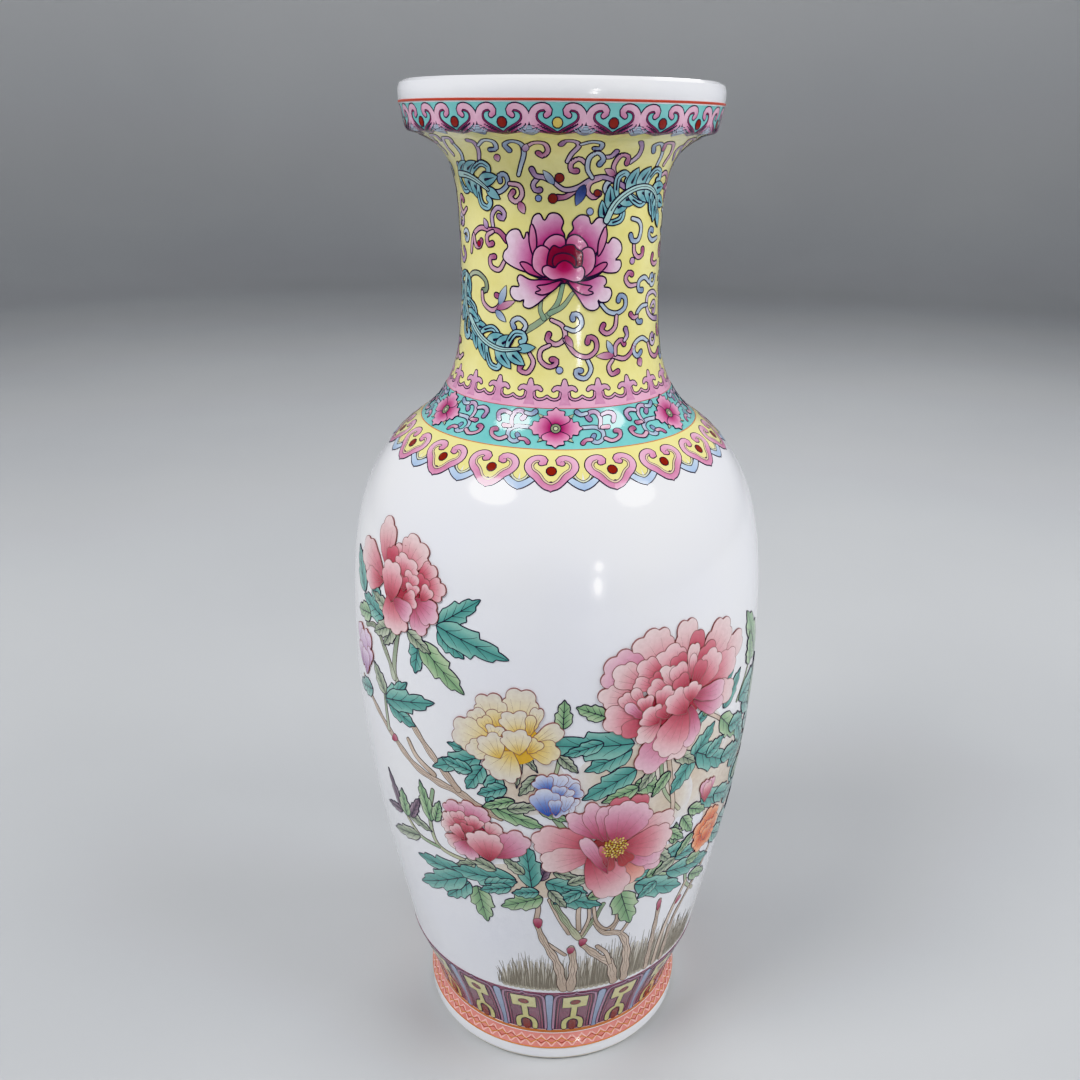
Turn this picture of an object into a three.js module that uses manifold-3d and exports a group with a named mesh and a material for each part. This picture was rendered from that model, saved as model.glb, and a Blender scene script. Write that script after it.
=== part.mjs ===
// Porcelain vase, baluster shape with a dish mouth, painted in overglaze enamels.
//
// A vase like this is thrown in sections that are luted together with slip, covered inside and out
// with glaze and fired, and then painted with enamels that are fired on top. Each section, slip
// joint, glaze coat, enamel band and painted flower is its own solid here.
// Units are millimetres. +Z is up, and the origin is the centre of the foot, on the table.
// Angles on the wall are degrees round the axis: 0 faces -Y, and positive angles turn towards +X.

import * as THREE from 'three';
import { mergeVertices } from 'three/addons/utils/BufferGeometryUtils.js';
import Module from 'manifold-3d';

const wasm = await Module();
wasm.setup();

// ---- driving dimensions ------------------------------------------------------------------

const HEIGHT = 360;
const SEGMENTS = 28;             // flat facets round the axis

const WAIST = { r: 50.9, z: 13 };            // narrowest place, just above the foot
const LAPPET_TOP = { r: 60.5, z: 43.9 };
const BELLY = { r: 75.8, z: 164.9 };         // widest place
const SHOULDER_TURN = { r: 49.1, z: 253.3 }; // where the shoulder turns into the neck
const NECK = { r: 33.1, z: 305.6 };          // narrowest place of the neck
const DISH_CORNER = { r: 48.7, z: 345.6 };   // sharp lower edge of the dish mouth
const LIP = { r: 51.7, z: 356.8 };           // widest place of the mouth
const LIP_CREST_R = 49.5;                    // radius of the lip's highest circle

const FOOT_R = 53.2;             // outer radius of the foot
const FOOT_REST_R = 51.8;        // outer radius of the flat unglazed rim
const FOOT_INNER_R = 45.0;       // inner radius of the foot ring
const FOOT_GLAZE_EDGE = 2.0;     // the glaze stops this far above the table
const FOOT_LINE_Z = 6.4;         // top of the white foot edge
const FOOT_JOINT_Z = 9.4;        // where the foot ring is luted to the body
const FLOOR_Z = 16.5;            // inside floor of the vase

const WALL = 4.8;                // whole wall with its two coats of glaze
const GLAZE = 0.4;
const ENAMEL = 0.3;
const LAYER_GAP = 0.05;          // hairline between two layers or two pieces
const SLIP = 0.6;                // space that the luting slip fills
const LAP = 4;                   // height of the step in a lap joint

const JOINT_HEIGHTS = { belly: 158, neck: 267, mouth: 329 };

// ---- outer outline -----------------------------------------------------------------------

// Heights where the outline has a corner of its polygon. Joints and bands start on these or
// between them, and every layer follows the same polygon, so layers stay parallel.
const BODY_HEIGHTS = [68, 98, 130];
const SHOULDER_HEIGHTS = [196, 220, 236, 246];
const NECK_HEIGHTS = [258, 265, 280];
const FLARE_HEIGHTS = [327, 338, 343];
const LAPPET_HEIGHTS = [27];

// A smooth stretch of outline between two points, with the given handles, cut at some heights.
function stretch(start, handleA, handleB, end, heights) {
  const curve = new THREE.CubicBezierCurve(
    new THREE.Vector2(start.r, start.z),
    new THREE.Vector2(...handleA),
    new THREE.Vector2(...handleB),
    new THREE.Vector2(end.r, end.z),
  );
  return heights.map((height) => curve.getPoint(parameterAt(curve, height)));
}

// Bisection: every stretch rises steadily from its start to its end.
function parameterAt(curve, height) {
  let low = 0;
  let high = 1;
  for (let step = 0; step < 40; step += 1) {
    const middle = (low + high) / 2;
    if (curve.getPoint(middle).y < height) low = middle;
    else high = middle;
  }
  return (low + high) / 2;
}

const corner = ({ r, z }) => new THREE.Vector2(r, z);

const OUTLINE = [
  new THREE.Vector2(FOOT_R, FOOT_GLAZE_EDGE),
  new THREE.Vector2(FOOT_R, FOOT_LINE_Z),
  corner(WAIST),
  ...stretch(WAIST, [50.9, 19.6], [59.7, 39.3], LAPPET_TOP, LAPPET_HEIGHTS),
  corner(LAPPET_TOP),
  ...stretch(LAPPET_TOP, [64.4, 66.3], [75.8, 118.2], BELLY, BODY_HEIGHTS),
  corner(BELLY),
  ...stretch(BELLY, [75.8, 210.9], [72.4, 238], SHOULDER_TURN, SHOULDER_HEIGHTS),
  corner(SHOULDER_TURN),
  ...stretch(SHOULDER_TURN, [32.9, 264], [33.2, 286], NECK, NECK_HEIGHTS),
  corner(NECK),
  ...stretch(NECK, [33.1, 332.1], [34, 341.8], DISH_CORNER, FLARE_HEIGHTS),
  corner(DISH_CORNER),
  new THREE.Vector2(50.1, 348.5),
  corner(LIP),
  new THREE.Vector2(51.2, 359),
  new THREE.Vector2(LIP_CREST_R, HEIGHT),
];

// The right-hand offset direction at each point of a polyline, longer at a corner so that offset
// lines stay parallel. On the outline, which runs upwards, it points outwards.
function mitres(points) {
  const normals = points.slice(1).map((point, index) => {
    const along = point.clone().sub(points[index]).normalize();
    return new THREE.Vector2(along.y, -along.x);
  });
  return points.map((_, index) => {
    const before = normals[Math.max(index - 1, 0)];
    const after = normals[Math.min(index, normals.length - 1)];
    return before.clone().add(after).divideScalar(1 + before.dot(after));
  });
}

function shifted(points, distance) {
  const directions = mitres(points);
  return points.map((point, index) => point.clone().addScaledVector(directions[index], distance));
}

const OFFSETS = mitres(OUTLINE);

// A point in the wall: the height on the outer surface, and the depth below it. A negative depth
// is a layer on top of the glaze.
function inWall(height, depth) {
  let index = OUTLINE.findIndex((point) => point.y >= height - 1e-6);
  index = Math.max(index, 1);
  const share = (height - OUTLINE[index - 1].y) / (OUTLINE[index].y - OUTLINE[index - 1].y);
  const near = OUTLINE[index - 1].clone().addScaledVector(OFFSETS[index - 1], -depth);
  const far = OUTLINE[index].clone().addScaledVector(OFFSETS[index], -depth);
  return near.lerp(far, share);
}

// The heights where a face of a layer has its points, from one height up to another.
function stations(low, high) {
  const between = OUTLINE.map((point) => point.y).filter((z) => z > low + 0.01 && z < high - 0.01);
  return [low, ...between, high];
}

const face = (low, high, depth) => stations(low, high).map((height) => inWall(height, depth));

const downwards = (points) => [...points].reverse();

// ---- solids ------------------------------------------------------------------------------

// Revolves a closed profile of (radius, height) points. The profile may run either way round.
function revolve(profile) {
  const area = THREE.ShapeUtils.area(profile);
  const outwards = area > 0 ? profile : downwards(profile);
  const geometry = new THREE.LatheGeometry([...outwards, outwards[0]], SEGMENTS);
  geometry.rotateX(Math.PI / 2);
  return geometry;
}

// A layer of even thickness that follows the wall.
function layer(low, high, outerDepth, innerDepth) {
  return revolve([...face(low, high, outerDepth), ...downwards(face(low, high, innerDepth))]);
}

const enamelLayer = (low, high) => layer(low, high, -LAYER_GAP - ENAMEL, -LAYER_GAP);

// Porcelain runs between these two depths, and a lap joint steps at the middle of it.
const CLAY_OUT = GLAZE + LAYER_GAP;
const CLAY_IN = WALL - GLAZE - LAYER_GAP;
const CLAY_MID = WALL / 2;

// The lower section's edge at a lap joint, from outside to inside: a tongue stands up inside.
function tongue(height) {
  return [
    inWall(height, CLAY_OUT),
    inWall(height, CLAY_MID + SLIP / 2),
    inWall(height + LAP, CLAY_MID + SLIP / 2),
    inWall(height + LAP, CLAY_IN),
  ];
}

// The upper section's edge, from outside to inside: its outer half hangs down over the tongue.
function overhang(height) {
  return [
    inWall(height + SLIP, CLAY_OUT),
    inWall(height + SLIP, CLAY_MID - SLIP / 2),
    inWall(height + LAP + SLIP, CLAY_MID - SLIP / 2),
    inWall(height + LAP + SLIP, CLAY_IN),
  ];
}

// The slip between them fills the stepped space, less a hairline on every side.
function slipJoint(height) {
  const low = height + LAYER_GAP;
  const high = height + SLIP - LAYER_GAP;
  const outer = CLAY_MID - SLIP / 2 + LAYER_GAP;
  const inner = CLAY_MID + SLIP / 2 - LAYER_GAP;
  return revolve([
    inWall(low, CLAY_OUT),
    inWall(high, CLAY_OUT),
    inWall(high, outer),
    inWall(high + LAP, outer),
    inWall(high + LAP, CLAY_IN),
    inWall(low + LAP, CLAY_IN),
    inWall(low + LAP, inner),
    inWall(low, inner),
  ]);
}

// A section of the wall between two lap joints.
function wallSection(lowJoint, highJoint) {
  const outer = face(lowJoint + SLIP, highJoint, CLAY_OUT).slice(1, -1);
  const inner = clayInside(lowJoint + LAP + SLIP, highJoint + LAP);
  return revolve([
    ...downwards(overhang(lowJoint)),
    ...outer,
    ...tongue(highJoint),
    ...downwards(inner),
  ]);
}

// ---- inside surface ----------------------------------------------------------------------

const FLOOR_EDGE = { r: 40, z: FLOOR_Z };
const FLOOR_CORNER = { r: 46, z: 21 };
const INNER_WALL_LOW = 29;       // between these heights the inside is parallel to the outside
const INNER_WALL_HIGH = 338;
const DISH_FLOOR = { r: 38.5, z: 347.8 };
const DISH_WALL = { r: 45.5, z: 351.2 };
const LIP_INNER = { r: 47.4, z: 356.6 };
const LIP_INNER_TOP = { r: 48, z: 358.9 };
const LIP_INNER_CREST = { r: LIP_CREST_R - 0.75, z: HEIGHT - 0.45 };

const INSIDE_FLOOR = [new THREE.Vector2(0, FLOOR_Z), corner(FLOOR_EDGE), corner(FLOOR_CORNER)];
const INSIDE_MOUTH = [
  ...[DISH_FLOOR, DISH_WALL, LIP_INNER, LIP_INNER_TOP].map(corner),
  corner(LIP_INNER_CREST),
];
const INSIDE = [
  ...INSIDE_FLOOR,
  ...face(INNER_WALL_LOW, INNER_WALL_HIGH, WALL),
  ...INSIDE_MOUTH,
];
const INSIDE_HEIGHTS = [
  ...INSIDE_FLOOR.map(() => 0),
  ...stations(INNER_WALL_LOW, INNER_WALL_HIGH),
  ...INSIDE_MOUTH.map(() => HEIGHT),
];

// The inner face of the porcelain between two heights, from the lower to the higher.
function clayInside(low, high) {
  const points = shifted(INSIDE, GLAZE + LAYER_GAP);
  return points.filter((_, index) => INSIDE_HEIGHTS[index] > low && INSIDE_HEIGHTS[index] < high);
}

// ---- the five porcelain sections ---------------------------------------------------------

function mouthSection() {
  const joint = JOINT_HEIGHTS.mouth;
  return revolve([
    ...downwards(overhang(joint)),
    ...face(joint + SLIP, HEIGHT, CLAY_OUT).slice(1),
    ...downwards(clayInside(joint + LAP + SLIP, HEIGHT + 1)),
  ]);
}

const BODY_UNDERSIDE_Z = FOOT_JOINT_Z + SLIP;

function lowerBodySection() {
  return revolve([
    new THREE.Vector2(0, BODY_UNDERSIDE_Z),
    inWall(BODY_UNDERSIDE_Z, CLAY_OUT).setY(BODY_UNDERSIDE_Z),
    ...face(BODY_UNDERSIDE_Z, JOINT_HEIGHTS.belly, CLAY_OUT).slice(1, -1),
    ...tongue(JOINT_HEIGHTS.belly),
    ...downwards(clayInside(-1, JOINT_HEIGHTS.belly + LAP)),
  ]);
}

function footRing() {
  const outer = FOOT_R - CLAY_OUT;
  return revolve([
    new THREE.Vector2(FOOT_INNER_R + 0.8, 0),
    new THREE.Vector2(FOOT_REST_R, 0),
    new THREE.Vector2(FOOT_R - CLAY_OUT, 1.2),
    new THREE.Vector2(outer, FOOT_LINE_Z),
    inWall(FOOT_JOINT_Z, CLAY_OUT).setY(FOOT_JOINT_Z),
    new THREE.Vector2(FOOT_INNER_R - 0.6, FOOT_JOINT_Z),
    new THREE.Vector2(FOOT_INNER_R, 0.8),
  ]);
}

function footSlip() {
  const outer = inWall(BODY_UNDERSIDE_Z, CLAY_OUT).x;
  return revolve([
    new THREE.Vector2(FOOT_INNER_R - 0.6, FOOT_JOINT_Z + LAYER_GAP),
    new THREE.Vector2(outer, FOOT_JOINT_Z + LAYER_GAP),
    new THREE.Vector2(outer, BODY_UNDERSIDE_Z - LAYER_GAP),
    new THREE.Vector2(FOOT_INNER_R - 0.6, BODY_UNDERSIDE_Z - LAYER_GAP),
  ]);
}

// ---- glaze -------------------------------------------------------------------------------

const outerGlaze = () => layer(FOOT_GLAZE_EDGE, HEIGHT, 0, GLAZE);

const innerGlaze = () => revolve([...INSIDE, ...downwards(shifted(INSIDE, GLAZE))]);

function baseGlaze() {
  const top = FOOT_JOINT_Z;
  const rim = FOOT_INNER_R - 0.6 - LAYER_GAP;
  return revolve([
    new THREE.Vector2(0, top - GLAZE),
    new THREE.Vector2(rim, top - GLAZE),
    new THREE.Vector2(rim, top),
    new THREE.Vector2(0, top),
  ]);
}

// ---- painted patches ---------------------------------------------------------------------

function toManifold(geometry) {
  const bare = geometry.clone();
  bare.deleteAttribute('normal');
  bare.deleteAttribute('uv');
  const merged = mergeVertices(bare);
  const mesh = new wasm.Mesh({
    numProp: 3,
    vertProperties: Float32Array.from(merged.attributes.position.array),
    triVerts: Uint32Array.from(merged.index.array),
  });
  mesh.merge();
  return new wasm.Manifold(mesh);
}

function fromManifold(solid) {
  const { vertProperties, triVerts } = solid.getMesh();
  const geometry = new THREE.BufferGeometry();
  geometry.setAttribute('position', new THREE.BufferAttribute(vertProperties, 3));
  geometry.setIndex(new THREE.BufferAttribute(triVerts, 1));
  geometry.computeVertexNormals();
  return geometry;
}

const PRISM_INNER_R = 15;
const PRISM_OUTER_R = 95;

// A wedge that points at the axis and whose section is an outline drawn on the wall, as
// [degrees, height] points that run anticlockwise seen from outside.
function wedge(outline) {
  const corners = outline.map(([degrees, height]) => new THREE.Vector2(degrees, height));
  const faces = THREE.ShapeUtils.triangulateShape(corners, []);
  const count = corners.length;
  const positions = [];
  for (const radius of [PRISM_INNER_R, PRISM_OUTER_R]) {
    for (const { x: degrees, y: height } of corners) {
      const angle = THREE.MathUtils.degToRad(degrees);
      positions.push(radius * Math.sin(angle), -radius * Math.cos(angle), height);
    }
  }
  const indices = [];
  for (const [a, b, c] of faces) {
    indices.push(count + a, count + b, count + c);
    indices.push(a, c, b);
  }
  for (let a = 0; a < count; a += 1) {
    const b = (a + 1) % count;
    indices.push(a, b, count + b);
    indices.push(a, count + b, count + a);
  }
  const geometry = new THREE.BufferGeometry();
  geometry.setAttribute('position', new THREE.Float32BufferAttribute(positions, 3));
  geometry.setIndex(indices);
  return geometry;
}

// Raised enamel of a given outline, lying on the glaze or on a ground colour.
function patch(outline, depth) {
  const heights = outline.map(([, height]) => height);
  const low = Math.min(...heights) - 2;
  const high = Math.max(...heights) + 2;
  const shell = toManifold(layer(low, high, depth - ENAMEL, depth));
  return fromManifold(shell.intersect(toManifold(wedge(outline))));
}

const onGlaze = (outline) => patch(outline, -LAYER_GAP);
const onGround = (outline) => patch(outline, -2 * LAYER_GAP - ENAMEL);

// A flower head: a circle of round petals, given its centre, half width and half height.
function flowerOutline(degrees, height, halfWidth, halfHeight, petals) {
  const perPetal = 4;
  const outline = [];
  for (let step = 0; step < petals * perPetal; step += 1) {
    const turn = (step / (petals * perPetal)) * Math.PI * 2;
    const scallop = 0.86 + 0.14 * Math.abs(Math.sin((turn * petals) / 2));
    outline.push([
      degrees + halfWidth * scallop * Math.cos(turn),
      height + halfHeight * scallop * Math.sin(turn),
    ]);
  }
  return outline;
}

// A pointed leaf from its stalk end to its tip.
function leafOutline([fromDegrees, fromHeight], [toDegrees, toHeight], halfWidth) {
  const stations = [0.2, 0.45, 0.75];
  const widths = [0.75, 1, 0.55];
  const along = [toDegrees - fromDegrees, toHeight - fromHeight];
  const length = Math.hypot(...along);
  const side = [-along[1] / length, along[0] / length];
  const at = (share, width) => [
    fromDegrees + along[0] * share + side[0] * width * halfWidth,
    fromHeight + along[1] * share + side[1] * width * halfWidth,
  ];
  const right = stations.map((share, index) => at(share, -widths[index]));
  const left = stations.map((share, index) => at(share, widths[index])).reverse();
  return [at(0, 0), ...right, at(1, 0), ...left];
}

// ---- materials ---------------------------------------------------------------------------

const material = (color, roughness) => new THREE.MeshStandardMaterial({ color, roughness, metalness: 0 });

const BISQUE = material('#efece6', 0.75);
const SLIP_CLAY = material('#e6e0d6', 0.85);
const GLAZE_WHITE = material('#eceef4', 0.08);
const TURQUOISE = material('#8fd0cf', 0.2);
const YELLOW = material('#ece48f', 0.2);
const PINK = material('#dd8fb0', 0.22);
const ROSE = material('#c4587f', 0.22);
const CORAL = material('#e07a6c', 0.25);
const IRON_RED = material('#b8483a', 0.3);
const MAROON = material('#8d3f5e', 0.25);
const BLUE = material('#7c92cf', 0.22);
const ORANGE = material('#dd8046', 0.25);
const LILAC = material('#b99cc4', 0.22);
const TEAL = material('#5aa597', 0.22);
const GREEN = material('#8fb58a', 0.22);
const BARK = material('#c9b29c', 0.3);
const GRASS = material('#8b8271', 0.3);

// ---- assembly ----------------------------------------------------------------------------

const vase = new THREE.Group();

function add(name, geometry, look) {
  const mesh = new THREE.Mesh(geometry, look);
  mesh.name = name;
  vase.add(mesh);
}

add('foot_ring', footRing(), BISQUE);
add('lower_body_section', lowerBodySection(), BISQUE);
add('upper_body_section', wallSection(JOINT_HEIGHTS.belly, JOINT_HEIGHTS.neck), BISQUE);
add('neck_section', wallSection(JOINT_HEIGHTS.neck, JOINT_HEIGHTS.mouth), BISQUE);
add('mouth_section', mouthSection(), BISQUE);

add('slip_joint_foot', footSlip(), SLIP_CLAY);
for (const [name, height] of Object.entries(JOINT_HEIGHTS)) {
  add(`slip_joint_${name}`, slipJoint(height), SLIP_CLAY);
}

add('glaze_outer', outerGlaze(), GLAZE_WHITE);
add('glaze_inner', innerGlaze(), GLAZE_WHITE);
add('glaze_base', baseGlaze(), GLAZE_WHITE);

// Bands of ground enamel, each as [name, low height, high height, material], from foot to mouth.
const BANDS = [
  ['coral_foot_band', 6.7, 12.4, CORAL],
  ['foot_line', 12.6, 14.2, ORANGE],
  ['lappet_band', 14.4, 43.2, MAROON],
  ['ruyi_collar', 245.0, 252.9, YELLOW],
  ['shoulder_line', 253.3, 254.1, ORANGE],
  ['turquoise_shoulder_band', 254.4, 263.6, TURQUOISE],
  ['neck_line', 264.2, 264.9, IRON_RED],
  ['trefoil_border', 265.2, 267.8, PINK],
  ['yellow_neck_ground', 268.0, 344.8, YELLOW],
  ['turquoise_mouth_band', 346.0, 353.2, TURQUOISE],
  ['mouth_line', 353.5, 354.2, IRON_RED],
];
for (const [name, low, high, look] of BANDS) {
  add(name, enamelLayer(low, high), look);
}

// Flower heads, each as [name, degrees, height, half width in degrees, half height, petals, material].
const FLOWERS = [
  ['peony_upper_left', -44, 212, 18, 18, 7, ROSE],
  ['peony_yellow', -13.5, 168, 13, 16, 7, YELLOW],
  ['peony_blue', 0.5, 145.5, 7.5, 8.5, 5, BLUE],
  ['peony_right', 33, 179, 23, 25, 9, ROSE],
  ['peony_open', 17, 119.5, 19, 20, 6, PINK],
  ['peony_lower_left', -20.5, 124, 13, 12.5, 7, ROSE],
  ['flower_orange', 52.5, 108.5, 8, 10, 6, ORANGE],
  ['bud_lilac', -62, 177, 7, 9, 4, LILAC],
];
for (const [name, degrees, height, halfWidth, halfHeight, petals, look] of FLOWERS) {
  add(name, onGlaze(flowerOutline(degrees, height, halfWidth, halfHeight, petals)), look);
}
add('neck_peony', onGround(flowerOutline(1.5, 310, 33, 14, 8)), ROSE);

// The largest leaf of each spray, as [name, stalk end, tip, half width, material].
const LEAVES = [
  ['leaf_upper_left', [-24, 202], [-12, 197], 3, TEAL],
  ['leaf_left', [-30, 101], [-46, 86], 4, TEAL],
  ['leaf_lower_left', [-21, 97], [-22, 81], 4.5, GREEN],
  ['leaf_right', [42, 148], [54, 138], 4, TEAL],
  ['leaf_lower_right', [23, 98], [24, 79], 4.5, GREEN],
];
for (const [name, stalk, tip, halfWidth, look] of LEAVES) {
  add(name, onGlaze(leafOutline(stalk, tip, halfWidth)), look);
}

const TRUNK_OUTLINE = [[3, 46], [9, 46], [8, 62], [13, 74], [9, 76], [6, 64], [3, 75], [-3, 86], [-5, 85], [1, 70]];
const GRASS_OUTLINE = [[-18, 47], [1.6, 47], [1.2, 58], [-3, 61], [-9, 60], [-13, 56]];
add('trunk', onGlaze(TRUNK_OUTLINE), BARK);
add('grass', onGlaze(GRASS_OUTLINE), GRASS);

export default vase;
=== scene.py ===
import math

import bpy
import numpy as np
from mathutils import Euler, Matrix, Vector


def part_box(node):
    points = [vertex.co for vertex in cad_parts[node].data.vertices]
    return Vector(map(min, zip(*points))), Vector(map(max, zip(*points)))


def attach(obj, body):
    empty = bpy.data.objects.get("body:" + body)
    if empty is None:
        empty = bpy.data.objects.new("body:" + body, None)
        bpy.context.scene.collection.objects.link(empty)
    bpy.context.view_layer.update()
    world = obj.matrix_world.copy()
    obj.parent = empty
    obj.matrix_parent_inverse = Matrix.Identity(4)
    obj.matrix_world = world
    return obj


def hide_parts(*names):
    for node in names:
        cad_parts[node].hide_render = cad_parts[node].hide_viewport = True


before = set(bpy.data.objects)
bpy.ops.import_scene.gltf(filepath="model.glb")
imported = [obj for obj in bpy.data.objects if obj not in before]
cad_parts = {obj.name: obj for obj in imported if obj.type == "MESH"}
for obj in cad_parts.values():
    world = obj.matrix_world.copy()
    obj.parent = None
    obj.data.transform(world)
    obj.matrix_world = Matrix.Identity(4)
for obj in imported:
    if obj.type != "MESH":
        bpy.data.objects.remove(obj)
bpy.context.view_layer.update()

# A porcelain vase painted in overglaze enamels. Design sizes are in millimetres and angles on
# the wall in degrees: 0 faces -Y, and positive angles turn towards +X. Heights are above the
# table. Each painted shape is a thin raised solid that follows the curved wall.

MM = 0.001                # metres in a millimetre
dice = np.random.default_rng(7)


def corners_mm(node):
    """A CAD node's box in millimetres."""
    low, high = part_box(node)
    return np.array(low) / MM, np.array(high) / MM


def heights(node):
    """The lowest and highest height of a CAD node."""
    low, high = corners_mm(node)
    return low[2], high[2]


def reach(node):
    """The largest radius of a CAD node."""
    return corners_mm(node)[1][0]


# ---- the wall ------------------------------------------------------------------------------

GLAZE_FOOT, VASE_TOP = heights("glaze_outer")
BELLY_RADIUS = reach("glaze_outer")
FOOT_RADIUS = 53.2
LIP_RADIUS = 51.7
WALL = 4.8                # porcelain with its two coats of glaze
GLAZE = 0.4
HAIRLINE = 0.05           # gap between two layers


def bezier(points, count=60):
    """Points on a cubic curve."""
    t = np.linspace(0, 1, count)[:, None]
    a, b, c, d = np.array(points, float)
    return (1 - t) ** 3 * a + 3 * (1 - t) ** 2 * t * b + 3 * (1 - t) * t * t * c + t ** 3 * d


# The outer surface from the foot to the crest of the lip, as curves of (radius, height).
OUTER_CURVES = [
    [(FOOT_RADIUS, GLAZE_FOOT), (FOOT_RADIUS, 3.5), (FOOT_RADIUS, 5), (FOOT_RADIUS, 6.4)],
    [(FOOT_RADIUS, 6.4), (53.1, 8.6), (50.9, 10.4), (50.9, 13)],
    [(50.9, 13), (50.9, 19.6), (59.7, 39.3), (60.5, 43.9)],
    [(60.5, 43.9), (64.4, 66.3), (BELLY_RADIUS, 118.2), (BELLY_RADIUS, 164.9)],
    [(BELLY_RADIUS, 164.9), (BELLY_RADIUS, 210.9), (72.4, 238), (49.1, 253.3)],
    [(49.1, 253.3), (32.9, 264), (33.2, 286), (33.1, 305.6)],
    [(33.1, 305.6), (33.1, 332.1), (34, 341.8), (48.5, 345.5)],
    [(48.5, 345.5), (49.5, 345.8), (49.8, 346.6), (50, 347.8)],
    [(50, 347.8), (50.5, 351), (LIP_RADIUS, 353.5), (LIP_RADIUS, 356.8)],
    [(LIP_RADIUS, 356.8), (LIP_RADIUS, 358.8), (50.9, VASE_TOP), (49.5, VASE_TOP)],
]


def joined(curves):
    """Curves that follow one another, as one row of points."""
    return np.concatenate([bezier(curve)[:-1] for curve in curves] + [[curves[-1][-1]]])


class Surface:
    """A surface of revolution, measured by the distance along its outline."""

    def __init__(self, points):
        self.points = np.array(points, float)
        steps = np.hypot(*np.diff(self.points, axis=0).T)
        self.along = np.concatenate([[0], np.cumsum(steps)])
        slopes = np.gradient(self.points, self.along, axis=0)
        slopes /= np.hypot(*slopes.T)[:, None]
        self.normals = np.stack([slopes[:, 1], -slopes[:, 0]], axis=1)

    def at(self, station, depth=0.0):
        """Points of (radius, height) at a distance along the outline, below the surface."""
        point = [np.interp(station, self.along, self.points[:, k]) for k in (0, 1)]
        normal = self.normal(station)
        return np.stack([point[k] - depth * normal[k] for k in (0, 1)], axis=-1)

    def normal(self, station):
        """The outward direction as (radius, height)."""
        return [np.interp(station, self.along, self.normals[:, k]) for k in (0, 1)]

    def station(self, height):
        """The distance along the outline at a height."""
        return np.interp(height, self.points[:, 1], self.along)

    def radius(self, station):
        return np.interp(station, self.along, self.points[:, 0])


WALL_OUT = Surface(joined(OUTER_CURVES))
CREST = WALL_OUT.along[-1]
ROW = 1.6                 # distance between two rows of a turned surface
GLAZE_ROW = 2.0           # the same on the clear glaze
COARSE_ROW = 3.0          # the same where little or nothing of the surface shows
TURN_STEPS = 288
INSIDE_STEPS = 192
BASE_STEPS = 144
HIDDEN_STEPS = 96


def face(low, high, depth, row=ROW):
    """One face of a layer of the wall, as (radius, height) from one station to another."""
    count = max(2, int(math.ceil((high - low) / row)) + 1)
    return WALL_OUT.at(np.linspace(low, high, count), depth)


# ---- meshes --------------------------------------------------------------------------------

def new_object(name, vertices, faces, smooth_angle=None):
    """A smooth mesh object. Edges sharper than the angle, in degrees, stay crisp."""
    mesh = bpy.data.meshes.new(name)
    mesh.from_pydata([tuple(v) for v in vertices], [], [tuple(f) for f in faces])
    mesh.polygons.foreach_set("use_smooth", [True] * len(mesh.polygons))
    if smooth_angle:
        mesh.set_sharp_from_angle(angle=math.radians(smooth_angle))
    mesh.validate()
    piece = bpy.data.objects.new(name, mesh)
    bpy.context.scene.collection.objects.link(piece)
    return piece


def turned(name, profile, steps=TURN_STEPS):
    """Revolves a closed profile of (radius, height). A point on the axis becomes one vertex."""
    profile = np.array(profile, float)
    following = np.roll(profile, -1, axis=0)
    area = np.sum(profile[:, 0] * following[:, 1] - following[:, 0] * profile[:, 1])
    if area < 0:
        profile = profile[::-1]
    angles = np.arange(steps) * 2 * math.pi / steps
    vertices = []
    rings = []
    for radius, height in profile:
        first = len(vertices)
        if radius < 1e-6:
            vertices.append((0, 0, height * MM))
            rings.append([first] * steps)
        else:
            ring = [(radius * math.sin(a) * MM, -radius * math.cos(a) * MM, height * MM) for a in angles]
            vertices.extend(ring)
            rings.append(list(range(first, first + steps)))
    faces = []
    for ring, above in zip(rings, rings[1:] + rings[:1]):
        for k in range(steps):
            j = (k + 1) % steps
            loop = [ring[k], ring[j], above[j], above[k]]
            corners = [v for n, v in enumerate(loop) if v not in loop[:n]]
            if len(corners) > 2:
                faces.append(corners)
    return new_object(name, vertices, faces, smooth_angle=40)


# ---- materials -----------------------------------------------------------------------------

def colour(code):
    """A hexadecimal screen colour as linear red, green, blue."""
    parts = [int(code[k:k + 2], 16) / 255 for k in (1, 3, 5)]
    return np.array([p / 12.92 if p <= 0.04045 else ((p + 0.055) / 1.055) ** 2.4 for p in parts])


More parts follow.
